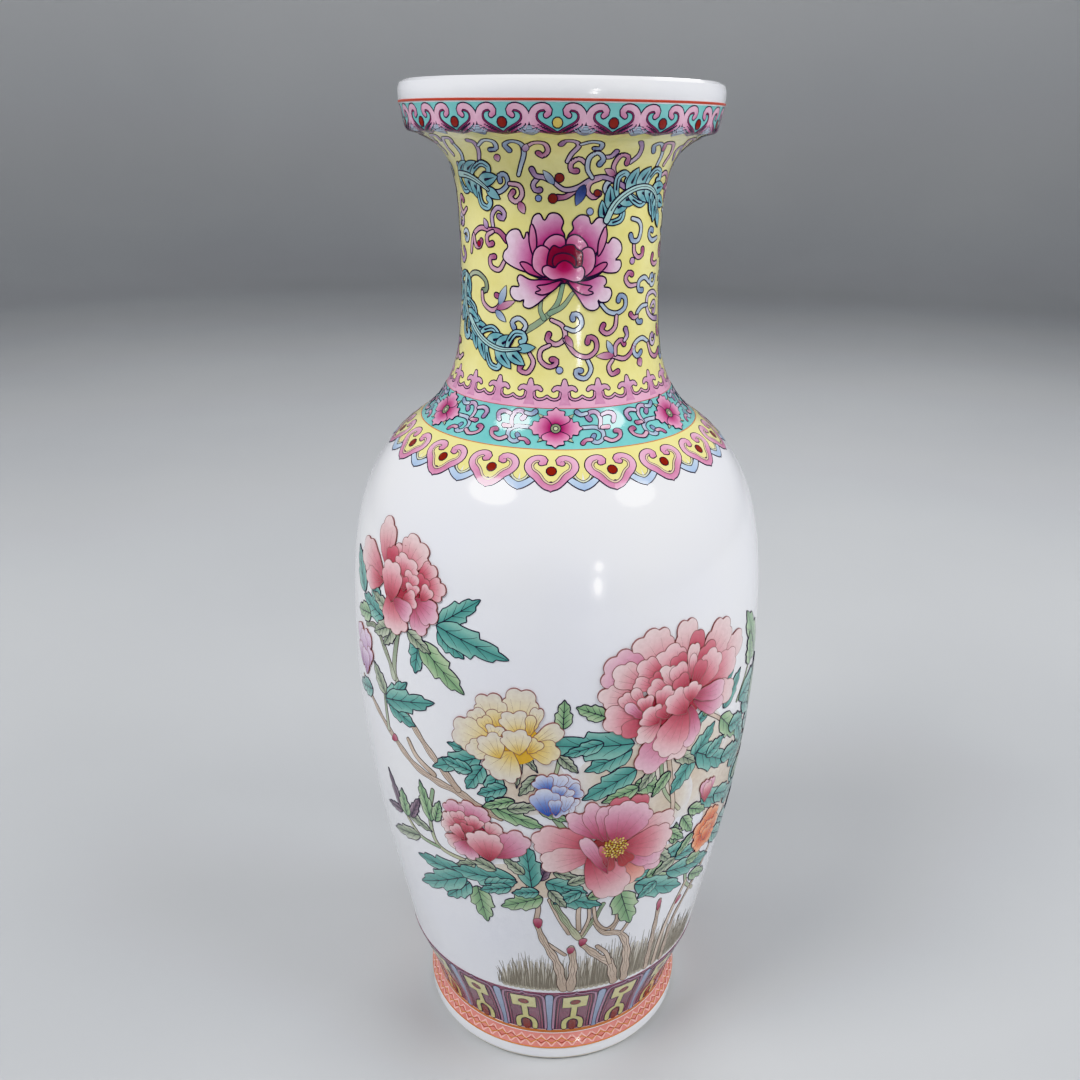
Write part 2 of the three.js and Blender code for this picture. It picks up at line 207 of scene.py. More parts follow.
class Material:
    """A Principled material with short calls for the nodes that vary it."""

    def __init__(self, name, roughness, **sockets):
        self.material = bpy.data.materials.new(name)
        self.material.use_nodes = True
        self.nodes = self.material.node_tree.nodes
        self.links = self.material.node_tree.links
        self.shader = self.nodes["Principled BSDF"]
        self.shader.inputs["Roughness"].default_value = roughness
        for socket, value in sockets.items():
            self.shader.inputs[socket.replace("_", " ")].default_value = value

    def node(self, kind, **settings):
        made = self.nodes.new(kind)
        for key, value in settings.items():
            if key in made.inputs:
                made.inputs[key].default_value = value
            else:
                setattr(made, key, value)
        return made

    def noise(self, scale, detail=3.0, stretch=(1, 1, 1)):
        """Noise between 0 and 1 in the object's own coordinates."""
        place = self.node("ShaderNodeTexCoord")
        mapping = self.node("ShaderNodeMapping")
        mapping.inputs["Scale"].default_value = stretch
        self.links.new(place.outputs["Object"], mapping.inputs["Vector"])
        made = self.node("ShaderNodeTexNoise", Scale=scale, Detail=detail)
        self.links.new(mapping.outputs["Vector"], made.inputs["Vector"])
        return made.outputs["Fac"]

    def spread(self, value, low, high):
        """Maps the middle of a noise to a range."""
        made = self.node("ShaderNodeMapRange")
        made.inputs["From Min"].default_value = 0.3
        made.inputs["From Max"].default_value = 0.7
        made.inputs["To Min"].default_value = low
        made.inputs["To Max"].default_value = high
        self.links.new(value, made.inputs["Value"])
        return made.outputs["Result"]

    def blend(self, factor, first, second, mode="MIX"):
        """Mixes two colours, which are values or sockets."""
        made = self.node("ShaderNodeMix", data_type="RGBA", blend_type=mode)
        pairs = ((made.inputs[0], factor), (made.inputs[6], first), (made.inputs[7], second))
        for socket, value in pairs:
            if isinstance(value, bpy.types.NodeSocket):
                self.links.new(value, socket)
            elif np.ndim(value):
                socket.default_value = (*value, 1)
            else:
                socket.default_value = value
        return made.outputs[2]

    def attribute(self, name):
        return self.node("ShaderNodeAttribute", attribute_name=name).outputs["Color"]

    def paint(self, socket):
        self.links.new(socket, self.shader.inputs["Base Color"])

    def bump(self, height, distance):
        made = self.node("ShaderNodeBump", Strength=1.0, Distance=distance)
        self.links.new(height, made.inputs["Height"])
        self.links.new(made.outputs["Normal"], self.shader.inputs["Normal"])


WHITE = (1.0, 1.0, 1.0)
GLAZE_IOR = 1.52


def porcelain_glaze():
    """Clear glossy glaze over slightly bluish white, with faint pooling and a soft ripple."""
    made = Material("porcelain glaze", 0.12, IOR=GLAZE_IOR, Coat_Weight=0.5, Coat_Roughness=0.05)
    cloud = made.spread(made.noise(14.0, 2.0), 0, 1)
    made.paint(made.blend(cloud, colour("#e9eaf2"), colour("#eeeef0")))
    made.bump(made.noise(55.0, 1.0), 0.00012)
    return made.material


def bisque():
    """Bare fired porcelain, warm and matt, with fine kiln specks."""
    made = Material("bisque", 0.75, IOR=1.45)
    cloud = made.spread(made.noise(60.0, 4.0), 0, 1)
    made.paint(made.blend(cloud, colour("#e6dfd2"), colour("#f1ece2")))
    made.bump(made.noise(1800.0, 3.0), 0.00006)
    return made.material


def ground_enamel(name, light, dark):
    """A flat ground colour with the uneven density of brushed enamel."""
    made = Material(name, 0.12, IOR=GLAZE_IOR, Coat_Weight=0.5, Coat_Roughness=0.05)
    cloud = made.spread(made.noise(95.0, 4.0), 0, 1)
    made.paint(made.blend(cloud, colour(light), colour(dark)))
    made.bump(made.noise(420.0, 2.0), 0.00004)
    return made.material


def tinted_enamel(name):
    """Enamel whose colour is painted on the mesh, darkened unevenly as by a brush."""
    made = Material(name, 0.14, IOR=GLAZE_IOR, Coat_Weight=0.4, Coat_Roughness=0.06)
    cloud = made.spread(made.noise(700.0, 3.0), 0, 0.35)
    made.paint(made.blend(cloud, made.attribute("Tint"), colour("#e2d6d6"), mode="MULTIPLY"))
    made.bump(made.noise(500.0, 2.0), 0.00005)
    return made.material


def line_enamel(name, code):
    """A thin painted line."""
    made = Material(name, 0.3, IOR=1.5)
    made.shader.inputs["Base Color"].default_value = (*colour(code), 1)
    made.bump(made.noise(900.0, 2.0), 0.00003)
    return made.material


PORCELAIN = porcelain_glaze()
BISQUE = bisque()
TINTED = tinted_enamel("painted enamel")
YELLOW = ground_enamel("yellow ground", "#f2eba6", "#eae190")
TURQUOISE = ground_enamel("turquoise ground", "#86cdcb", "#74c0c0")
ROSE_GROUND = ground_enamel("pale rose ground", "#e7b3cc", "#dd9dbd")
CORAL = ground_enamel("coral ground", "#de9188", "#d27f76")
MAROON = ground_enamel("maroon ground", "#8c4460", "#763450")
INK_CODE = "#2a2038"
INK = line_enamel("dark outline", INK_CODE)
FLOWER_INK = line_enamel("rose brown outline", "#8c5c5a")
GRASS_INK = line_enamel("grass blade", "#867e70")
BARK_INK = line_enamel("bark outline", "#54433c")
IRON_RED = line_enamel("iron red", "#c0503f")
ORANGE_LINE = line_enamel("orange line", "#c87a45")


# ---- turned pieces -------------------------------------------------------------------------

ROOT = "root"


def finish_piece(piece, slot, material, *nodes):
    """Rides a piece on the vase's body and lets it stand for the CAD nodes it details."""
    if material:
        piece.data.materials.append(material)
    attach(piece, ROOT)
    if nodes:
        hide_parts(*nodes)
    return piece


SLIP = 0.6                # thickness of the slip in a joint
LAP = 4.0                 # height of a lap joint
CLAY_OUT = GLAZE + HAIRLINE
CLAY_IN = WALL - GLAZE - HAIRLINE
CLAY_MID = WALL / 2
# Heights of the lap joints.
JOINTS = {"belly": 158.0, "neck": 267.0, "mouth": 329.0}
FOOT_INNER = 45.0         # radius inside the foot ring at the table
FOOT_TOP_INNER = FOOT_INNER - 0.6
FOOT_JOINT = heights("foot_ring")[1]
BODY_UNDERSIDE = FOOT_JOINT + SLIP

INSIDE_LOW = 29.0         # between these heights the inside is parallel to the outside
INSIDE_HIGH = 338.0
FLOOR = 16.5


def inside_surface():
    """The inner surface of the glaze, from the middle of the floor to the lip."""
    low = WALL_OUT.station(INSIDE_LOW)
    high = WALL_OUT.station(INSIDE_HIGH)
    wall = face(low, high, WALL, COARSE_ROW)
    floor = bezier([(38, FLOOR), (46, FLOOR), (50, 22), wall[0]], 12)[:-1]
    dish = bezier([wall[-1], (32, 347.4), (38.6, 347.6), (42.8, 349.2)], 14)[1:]
    lip = bezier([(42.8, 349.2), (47.3, 350.8), (46.9, 354), (47.5, 357.2)], 12)[1:]
    crest = bezier([(47.5, 357.2), (47.7, 358.6), (48.2, 359.5), (48.75, 359.55)], 8)[1:]
    return np.concatenate([[(0, FLOOR)], [(20, FLOOR)], floor, wall, dish, lip, crest])


INSIDE = Surface(inside_surface())


def clay_inside(low, high):
    """The porcelain's inner face between two heights, downwards."""
    chosen = (INSIDE.points[:, 1] > low) & (INSIDE.points[:, 1] < high)
    return (INSIDE.points + CLAY_OUT * INSIDE.normals)[chosen][::-1]


def on_wall(height, depth):
    """The (radius, height) of a spot below the outer surface."""
    return WALL_OUT.at(WALL_OUT.station(height), depth)


def clay_face(low, high):
    """The porcelain's outer face between two heights, both ends left out."""
    return face(WALL_OUT.station(low), WALL_OUT.station(high), CLAY_OUT, COARSE_ROW)[1:-1]


def tongue(height):
    """A lap joint's lower edge, from outside to inside."""
    return np.array([
        on_wall(height, CLAY_OUT),
        on_wall(height, CLAY_MID + SLIP / 2),
        on_wall(height + LAP, CLAY_MID + SLIP / 2),
        on_wall(height + LAP, CLAY_IN),
    ])


def overhang(height):
    """A lap joint's upper edge, from inside to outside."""
    return np.array([
        on_wall(height + LAP + SLIP, CLAY_IN),
        on_wall(height + LAP + SLIP, CLAY_MID - SLIP / 2),
        on_wall(height + SLIP, CLAY_MID - SLIP / 2),
        on_wall(height + SLIP, CLAY_OUT),
    ])


def foot_profile():
    """The foot ring, from the top down its outer face, round the bare rest and up the inside."""
    rounding = 3.0
    rim = FOOT_RADIUS - CLAY_OUT
    outside = clay_face(rounding, FOOT_JOINT)[::-1]
    rest = bezier([(rim, rounding), (rim, 0.8), (52.4, 0), (51.6, 0)], 8)
    inner_rest = bezier([(FOOT_INNER + 1, 0), (FOOT_INNER + 0.2, 0), (FOOT_INNER, 0.6), (FOOT_INNER, 2)], 6)
    top_outer = (on_wall(FOOT_JOINT, CLAY_OUT)[0], FOOT_JOINT)
    return np.concatenate([[top_outer], outside, rest, inner_rest, [(FOOT_TOP_INNER, FOOT_JOINT)]])


def slip_profile(height):
    """The stepped space of a lap joint, less a hairline on every side."""
    low = height + HAIRLINE
    high = height + SLIP - HAIRLINE
    outer = CLAY_MID - SLIP / 2 + HAIRLINE
    inner = CLAY_MID + SLIP / 2 - HAIRLINE
    return [
        on_wall(low, CLAY_OUT), on_wall(high, CLAY_OUT), on_wall(high, outer),
        on_wall(high + LAP, outer), on_wall(high + LAP, CLAY_IN), on_wall(low + LAP, CLAY_IN),
        on_wall(low + LAP, inner), on_wall(low, inner),
    ]


def foot_slip_profile():
    """The flat ring of slip between the foot ring and the body."""
    low = FOOT_JOINT + HAIRLINE
    high = BODY_UNDERSIDE - HAIRLINE
    outer = on_wall(FOOT_JOINT, CLAY_OUT)[0]
    return [(FOOT_TOP_INNER, low), (outer, low), (outer, high), (FOOT_TOP_INNER, high)]


def make_sections():
    """The five porcelain sections and the slip between them, mostly hidden by the glaze."""
    finish_piece(turned("foot_ring_bisque", foot_profile()), "bisque", BISQUE, "foot_ring")
    belly, neck, mouth = JOINTS.values()
    lap = LAP + SLIP
    underside = [(0, BODY_UNDERSIDE), (on_wall(BODY_UNDERSIDE, CLAY_OUT)[0], BODY_UNDERSIDE)]
    sections = {
        "lower_body": [underside, clay_face(BODY_UNDERSIDE, belly), tongue(belly),
                       clay_inside(0, belly + LAP)],
        "upper_body": [overhang(belly), clay_face(belly + SLIP, neck), tongue(neck),
                       clay_inside(belly + lap, neck + LAP)],
        "neck": [overhang(neck), clay_face(neck + SLIP, mouth), tongue(mouth),
                 clay_inside(neck + lap, mouth + LAP)],
        "mouth": [overhang(mouth), face(WALL_OUT.station(mouth + SLIP), CREST, CLAY_OUT)[1:],
                  clay_inside(mouth + lap, VASE_TOP)],
    }
    for name, faces in sections.items():
        made = turned(f"{name}_clay", np.concatenate(faces), HIDDEN_STEPS)
        finish_piece(made, "bisque", BISQUE, f"{name}_section")
    for name, height in JOINTS.items():
        made = turned(f"slip_{name}_ring", slip_profile(height), HIDDEN_STEPS)
        finish_piece(made, "slip", BISQUE, f"slip_joint_{name}")
    made = turned("slip_foot_ring", foot_slip_profile(), HIDDEN_STEPS)
    finish_piece(made, "slip", BISQUE, "slip_joint_foot")


def make_glaze():
    """The clear glaze outside, inside and under the base."""
    outer = np.concatenate([face(0, CREST, 0, GLAZE_ROW), face(0, CREST, GLAZE, COARSE_ROW)[::-1]])
    finish_piece(turned("outer_glaze_coat", outer), "glaze", PORCELAIN, "glaze_outer")
    hidden = (INSIDE.points + GLAZE * INSIDE.normals)[::-1]
    inner = np.concatenate([INSIDE.points, hidden[:1], hidden[2:-1:2], hidden[-1:]])
    inner[:, 0] = np.maximum(inner[:, 0], 0)
    finish_piece(turned("inner_glaze_coat", inner, INSIDE_STEPS), "glaze", PORCELAIN, "glaze_inner")
    low, high = heights("glaze_base")
    rim = reach("glaze_base")
    across, down = 3.0, 2.4
    corner = [(rim - across, low), (rim - across / 2, low), (rim, low - down / 4), (rim, low - down)]
    fillet = bezier(corner, 8)
    base = np.concatenate([[(0, high), (0, low)], fillet, [(rim + 0.35, low - down), (rim, high)]])
    finish_piece(turned("base_glaze_coat", base, BASE_STEPS), "glaze", PORCELAIN, "glaze_base")


BAND_TOP = 0.12           # ground enamel stands this far above the glaze
BAND_BEVEL = 0.12         # and its top is this much narrower on each side
ROOT_DEPTH = 0.05         # enamel starts this far below the glaze
FOOT_LINE_TOP = 0.16
THIN_LINE_TOP = 0.2
THIN_LINE_HALF = 0.15
TREFOIL_HEIGHT = 268.5    # the middle of the pink border below the neck
TREFOIL_EDGE = 1.3        # its ground colour ends this far below the middle


def make_band(node, slot, material, low=None, high=None, top=BAND_TOP):
    """A ring of ground enamel over the stretch of wall that its CAD node covers, or nearly."""
    node_low, node_high = heights(node)
    low = WALL_OUT.station(node_low if low is None else low)
    high = WALL_OUT.station(node_high if high is None else high)
    outer = face(low + BAND_BEVEL, high - BAND_BEVEL, -top)
    inner = face(low, high, ROOT_DEPTH, COARSE_ROW)
    made = turned(f"{node}_enamel", np.concatenate([outer, inner[::-1]]))
    return finish_piece(made, slot, material, node)


def middle_of(node):
    """The height halfway up a CAD node."""
    return sum(heights(node)) / 2


def make_thin_line(node, slot, material):
    """A narrow painted ring that stands higher than the bands beside it."""
    middle = middle_of(node)
    make_band(node, slot, material, middle - THIN_LINE_HALF, middle + THIN_LINE_HALF, THIN_LINE_TOP)


def make_bands():
    """The ground colours, which run right up to the thin lines between them."""
    shoulder = middle_of("shoulder_line")
    neck = middle_of("neck_line")
    edge = WALL_OUT.at(WALL_OUT.station(TREFOIL_HEIGHT) - TREFOIL_EDGE)[1]
    make_band("coral_foot_band", "coral_enamel", CORAL)
    make_band("foot_line", "orange_enamel", ORANGE_LINE, top=FOOT_LINE_TOP)
    make_band("lappet_band", "maroon_enamel", MAROON)
    make_band("turquoise_shoulder_band", "turquoise_enamel", TURQUOISE, shoulder, neck)
    make_thin_line("shoulder_line", "orange_enamel", ORANGE_LINE)
    make_thin_line("neck_line", "iron_red_enamel", IRON_RED)
    make_band("trefoil_border", "pink_enamel", ROSE_GROUND, neck, edge)
    make_band("yellow_neck_ground", "yellow_enamel", YELLOW, edge, heights("turquoise_mouth_band")[0])
    make_band("turquoise_mouth_band", "turquoise_enamel", TURQUOISE)
    make_band("mouth_line", "iron_red_enamel", IRON_RED, top=THIN_LINE_TOP)


make_sections()
make_glaze()
make_bands()

# ---- painting ------------------------------------------------------------------------------

STEP = 0.8                # distance between two points of a brush line
LONG_STEP = 1.4           # the same on long plain lines
FINE_STEP = 0.55          # the same round petals and leaves
STRIP = 1.3               # widest strip of faces across a brush line
FACET_SAG = 0.004         # how far a flat face may cut below the curved wall
CENTRE_DEPTH = 6 * ROOT_DEPTH       # the middle of a wide shape's underside is sunk this deep
FIRST_COAT = 0.03         # height of the first coat of paint on the bare glaze
OVER_BAND = BAND_TOP + 0.03
COAT = 0.014              # each further coat lies this much higher
LINE_RISE = 0.007         # a drawn line stands this far above its own coat
LINE = 0.3                # width of an outline
INK_SHADE = colour(INK_CODE)


class Canvas:
    """A stretch of wall measured in millimetres from one spot: x round the vase, y upwards."""

    def __init__(self, degrees, height):
        self.turn = math.radians(degrees)
        self.station = float(WALL_OUT.station(height))
        self.radius = float(WALL_OUT.radius(self.station))
        self.cell = math.sqrt(8 * FACET_SAG * self.radius)

    def spots(self, points, lift):
        """Points as rows of (angle, station, lift)."""
        points = np.asarray(points, float)
        stations = self.station + points[:, 1]
        angles = self.turn + points[:, 0] / WALL_OUT.radius(stations)
        return np.stack([angles, stations, np.broadcast_to(lift, len(points))], axis=1)

    def local(self, degrees, height):
        """The canvas position of a direction and a height."""
        station = WALL_OUT.station(height)
        return ((math.radians(degrees) - self.turn) * WALL_OUT.radius(station), station - self.station)


class Layer:
    """The faces of one paint, gathered before they become a mesh."""

    def __init__(self):
        self.spots = []
        self.tints = []
        self.tops = []
        self.undersides = []
        self.count = 0

    def add(self, spots, tints, tops, undersides):
        """Tops are faces that show, undersides are the edge and the bottom."""
        self.tops.extend((np.array(face) + self.count).tolist() for face in tops)
        self.undersides.extend((np.array(face) + self.count).tolist() for face in undersides)
        self.spots.append(spots)
        self.tints.append(np.broadcast_to(tints, (len(spots), 3)))
        self.count += len(spots)

    def made(self, name, material):
        """The mesh, shaded on top as the wall below it."""
        angle, station, lift = np.concatenate(self.spots).T
        normal_r, normal_z = WALL_OUT.normal(station)
        radius = WALL_OUT.radius(station) + lift * normal_r
        height = np.interp(station, WALL_OUT.along, WALL_OUT.points[:, 1]) + lift * normal_z
        points = np.stack([radius * np.sin(angle), -radius * np.cos(angle), height], axis=1) * MM
        normals = np.stack([normal_r * np.sin(angle), -normal_r * np.cos(angle), normal_z], axis=1)
        piece = new_object(name, points, self.tops + self.undersides)
        mesh = piece.data
        smooth = np.zeros(len(mesh.polygons), bool)
        smooth[:len(self.tops)] = True
        mesh.polygons.foreach_set("use_smooth", smooth)
        corners = np.zeros((len(mesh.loops), 3))
        shown = sum(len(face) for face in self.tops)
        corners[:shown] = normals[np.concatenate(self.tops)]
        mesh.normals_split_custom_set(corners)
        tint = mesh.color_attributes.new("Tint", "FLOAT_COLOR", "POINT")
        shades = np.concatenate(self.tints)
        tint.data.foreach_set("color", np.column_stack([shades, np.ones(len(shades))]).ravel())
        mesh.materials.append(material)
        return piece


def even(points, step, closed=False):
    """A smooth curve through the points, sampled at even steps."""
    points = np.asarray(points, float)
    if closed:
        ends = np.vstack([points[-1], points, points[0], points[1]])
    else:
        ends = np.vstack([2 * points[0] - points[1], points, 2 * points[-1] - points[-2]])
    t = np.linspace(0, 1, 9)[:-1, None]
    pieces = []
    for a, b, c, d in zip(ends, ends[1:], ends[2:], ends[3:]):
        bent = (2 * a - 5 * b + 4 * c - d) * t ** 2 + (3 * b - a - 3 * c + d) * t ** 3
        pieces.append(0.5 * (2 * b + (c - a) * t + bent))
    curve = np.vstack(pieces + [points[:1] if closed else points[-1:]])
    along = np.concatenate([[0], np.cumsum(np.hypot(*np.diff(curve, axis=0).T))])
    count = max(3, int(round(along[-1] / step))) + 1
    wanted = np.linspace(0, along[-1], count)[:-1 if closed else None]
    return np.stack([np.interp(wanted, along, curve[:, k]) for k in (0, 1)], axis=1)


def sideways(path, closed=False):
    """The unit vectors that point left of a path."""
    if closed:
        steps = np.roll(path, -1, axis=0) - np.roll(path, 1, axis=0)
    else:
        steps = np.gradient(path, axis=0)
    steps = steps / np.maximum(np.hypot(*steps.T), 1e-9)[:, None]
    return np.stack([-steps[:, 1], steps[:, 0]], axis=1)


def ring_faces(first, second, count, closed):
    """Quads between two rows of vertices, seen with the first row on the right."""
    last = count if closed else count - 1
    following = [(k + 1) % count for k in range(last)]
    return [(first + k, first + j, second + j, second + k) for k, j in zip(range(last), following)]


class Stroke:
    """A brush line with round ends. Its widths are spread evenly along it."""

    def __init__(self, points, width, closed=False, step=STEP):
        self.closed = closed
        self.path = even(points, step, closed)
        widths = np.atleast_1d(width)
        places = np.linspace(0, 1, len(self.path))
        self.widths = np.interp(places, np.linspace(0, 1, len(widths)), widths)

    def rounded(self, half):
        """The path and half widths with a round cap at each end."""
        path = self.path
        caps = np.radians([35, 65, 85])
        first = path[0] - path[1]
        last = path[-1] - path[-2]
        first = first / np.hypot(*first)
        last = last / np.hypot(*last)
        front = [path[0] + first * half[0] * math.sin(a) for a in caps[::-1]]
        back = [path[-1] + last * half[-1] * math.sin(a) for a in caps]
        path = np.vstack([front, path, back])
        half = np.concatenate([half[0] * np.cos(caps[::-1]), half, half[-1] * np.cos(caps)])
        return path, half

    def lay(self, layer, canvas, lift, tint, grow=0.0):
        half = self.widths / 2 + grow
        path = self.path
        if not self.closed:
            path, half = self.rounded(half)
        count = len(path)
        side = sideways(path, self.closed) * half[:, None]
        across = 1 + int(np.max(half) * 2 / STRIP)
        rows = [path + side * (1 - 2 * k / across) for k in range(across + 1)]
        tops = []
        for k in range(across):
            tops += ring_faces((k + 1) * count, k * count, count, self.closed)
        bottom = (across + 1) * count
        under = ring_faces(0, bottom, count, self.closed)
        under += ring_faces(bottom + count, across * count, count, self.closed)
        under += ring_faces(bottom, bottom + count, count, self.closed)
        if not self.closed:
            starts = [k * count for k in range(across + 1)]
            under.append(starts + [bottom + count, bottom])
            ends = [start + count - 1 for start in starts[::-1]]
            under.append(ends + [bottom + count - 1, bottom + 2 * count - 1])
        points = np.vstack(rows + [rows[0], rows[-1]])
        lifts = np.full(len(points), lift)
        lifts[bottom:] = -ROOT_DEPTH
        layer.add(canvas.spots(points, lifts), shades_at(tint, points), tops, under)


class Fill:
    """A filled shape that can be seen whole from its centre. Its outline runs anticlockwise."""

    def __init__(self, outline, centre=None):
        self.outline = np.asarray(outline, float)
        following = np.roll(self.outline, -1, axis=0)
        area = np.sum(self.outline[:, 0] * following[:, 1] - following[:, 0] * self.outline[:, 1])
        if area < 0:
            self.outline = self.outline[::-1]
        self.centre = self.outline.mean(axis=0) if centre is None else np.array(centre, float)

    def lay(self, layer, canvas, lift, tint, grow=0.0):
        spokes = self.outline - self.centre
        lengths = np.hypot(*spokes.T)[:, None]
        spokes = spokes * (1 + grow / np.maximum(lengths, 0.1))
        count = len(spokes)
        rows = max(1, math.ceil(np.max(lengths) / canvas.cell))
        rings = [self.centre + spokes * k / rows for k in range(1, rows + 1)]
        points = np.vstack([self.centre] + rings + [rings[-1], self.centre])
        tops = [(0, 1 + k, 1 + (k + 1) % count) for k in range(count)]
        for k in range(rows - 1):
            tops += ring_faces(1 + (k + 1) * count, 1 + k * count, count, True)
        rim = 1 + (rows - 1) * count
        foot = rim + count
        under = ring_faces(foot, rim, count, True)
        under += [(foot + count, foot + (k + 1) % count, foot + k) for k in range(count)]
        lifts = np.full(len(points), lift)
        lifts[foot:] = -ROOT_DEPTH
        lifts[-1] = -CENTRE_DEPTH
        layer.add(canvas.spots(points, lifts), shades_at(tint, points), tops, under)


def shades_at(tint, points):
    """A tint is one colour, or a function that gives a colour for each point."""
    return tint(points) if callable(tint) else tint


def fade(start, end, *codes):
    """Colours that change with the distance from start, the last one reached at end."""
    shades = np.array([colour(code) for code in codes])
    reach_mm = math.dist(start, end)

    def tint(points):
        away = np.hypot(points[:, 0] - start[0], points[:, 1] - start[1]) / reach_mm
        stops = np.linspace(0, 1, len(shades))
        return np.stack([np.interp(away, stops, shades[:, k]) for k in range(3)], axis=1)

    return tint


def disc(centre, radius, squash=1.0):
    """A round or oval outline."""
    count = max(10, int(2 * math.pi * radius / STEP))
    angles = np.arange(count) * 2 * math.pi / count
    spokes = np.stack([np.cos(angles), squash * np.sin(angles)], axis=1)
    return np.array(centre, float) + radius * spokes


class Picture:
    """One painted subject: its enamels make one piece, and its dark lines another."""

    def __init__(self, canvas, lift=FIRST_COAT, coat=COAT):
        self.canvas = canvas
        self.lift = lift
        self.coat = coat
        self.enamel = Layer()
        self.lines = Layer()

    def fill(self, outline, tint, centre=None):
        shape = Fill(outline, centre)
        shape.lay(self.enamel, self.canvas, self.lift, tint)
        return shape

    def line(self, points, width=LINE, closed=False, rise=LINE_RISE):
        step = FINE_STEP if closed else STEP
        Stroke(points, width, closed, step).lay(self.lines, self.canvas, self.lift + rise, INK_SHADE)

    def cased(self, shapes, tint, line=LINE):
        """Shapes that run together inside one dark outline."""
        for shape in shapes:
            shape.lay(self.lines, self.canvas, self.lift, INK_SHADE, grow=line)
        for shape in shapes:
            shape.lay(self.enamel, self.canvas, self.lift + LINE_RISE, tint)
        self.next_coat()

    def dot(self, centre, radius, tint, line=LINE):
        """A round spot inside a dark ring."""
        self.cased([Fill(disc(centre, radius), centre)], tint, line)

    def next_coat(self):
        self.lift += self.coat

    def hang(self, name, slot, *nodes, ink=None):
        """Makes the pieces of the picture."""
        if self.enamel.count:
            finish_piece(self.enamel.made(f"{name}_enamel", TINTED), slot, None, *nodes)
        if self.lines.count:
            finish_piece(self.lines.made(f"{name}_lines", ink or INK), "outline_enamel", None)


def mirrored(points):
    """The points of a right half and its mirror image as one line, which meets at x = 0."""
    points = np.asarray(points, float)
    return np.vstack([points[::-1] * (-1, 1), points[1:] if abs(points[0][0]) < 1e-6 else points])


def flipped(points):
    """The mirror image of the points, left for right."""
    return np.asarray(points, float) * (-1, 1)


def straight(corners, closed=False):
    """A line with sharp corners, as even steps along each of its sides."""
    corners = np.array(corners, float)
    following = np.roll(corners, -1, axis=0) if closed else corners[1:]
    sides = [np.linspace(a, b, 5)[:-1] for a, b in zip(corners, following)]
    return np.vstack(sides if closed else sides + [corners[-1:]])


# ---- border patterns -----------------------------------------------------------------------

PINK = ("#a85a84", "#c990ad", "#dcb6c6")
LILAC = ("#9c7aa8", "#bfa3c4", "#d5c4da")
BLUE = ("#7f95bb", "#a8bad2", "#c9d6e2")
RED_BROWN = colour("#8a2a20")
POLLEN = colour("#d8c26a")


def along_path(points, codes):
    """A tint that runs from the last point of a brush line back to its first."""
    return fade(points[-1], points[0], *codes)


def mouth_head(picture, shade):
    """A pink cloud head on the mouth: two curls that meet in a point, round a dot."""
    half = [(3.1, 0.4), (2.3, 1.2), (2.9, 2.3), (4.3, 2.6), (5.9, 2.1), (6.9, 0.8), (7.0, -0.7), (6.2, -2.1),
            (4.5, -3.1), (2.3, -4.2), (0.1, -5.9)]
    widths = [1.3, 1.7, 1.7, 1.8, 1.9, 2.0, 2.1, 2.2, 2.2, 1.9, 0.9]
    tint = fade((0, -4.4), (4.0, 3.4), "#3e0c26", "#6f2046", "#a84c7c", "#cf86ac", "#e2adc8", "#e8bcd2")
    picture.cased([Stroke(half, widths), Stroke(flipped(half), widths)], tint, 0.34)
    crease = [(3.8, 1.6), (5.0, 1.4), (5.7, 0.5), (5.5, -0.7), (4.4, -1.7), (2.9, -2.5), (1.5, -3.3),
              (0, -4.2)]
    picture.cased([Stroke(mirrored(crease[::-1]), 0.3)], colour("#8c3a62"), 0.2)
    picture.dot((0, -1.5), 1.3, shade, 0.34)


def grey_shield(picture):
    """The pointed grey-blue shape between two heads, below the mouth's band."""
    shield = [(-3.2, -2.6), (3.2, -2.6), (1.9, -4.8), (0, -6.8), (-1.9, -4.8)]
    tint = fade((0, -6.4), (0, -3), "#7f92b4", "#b4c6da")
    picture.cased([Fill(even(shield, STEP, closed=True), (0, -4.2))], tint, 0.34)
    picture.line([(-2.0, -3.2), (0, -5.2), (2.0, -3.2)])


def collar_head(picture):
    """A pink cloud head on the shoulder collar: two curls that meet in a point, round a dot."""
    half = [(3.2, 3.2), (2.3, 3.6), (2.6, 4.7), (4.0, 5.1), (5.8, 4.5), (7.0, 3.0), (7.2, 1.2), (6.1, -0.4),
            (4.5, -1.7), (3.1, -3.3), (1.6, -4.6), (0, -5.2)]
    widths = [1.6, 2.1, 2.0, 1.9, 2.0, 2.1, 2.1, 2.2, 2.2, 2.2, 2.2, 2.0]
    tip = Fill([(-2.3, -4.4), (0, -3.4), (2.3, -4.4), (1.2, -5.6), (0, -6.5), (-1.2, -5.6)])
    tint = fade((0, -1.0), (7.4, 4), "#b4567e", "#cf82a6", "#dea0c0", "#e9bcd3")
    picture.cased([Stroke(half, widths), Stroke(flipped(half), widths), tip], tint, 0.36)
    rim = [(4.2, 3.9), (5.2, 3.5), (5.9, 2.3), (5.5, 0.9), (4.4, 0.1), (3.3, -1.0), (2.2, -2.7),
           (1.1, -3.6), (0, -4.0)]
    picture.cased([Stroke(mirrored(rim[::-1]), 0.5)], colour("#e3cdb4"), 0.22)
    picture.dot((0, 0.4), 1.45, RED_BROWN, 0.34)


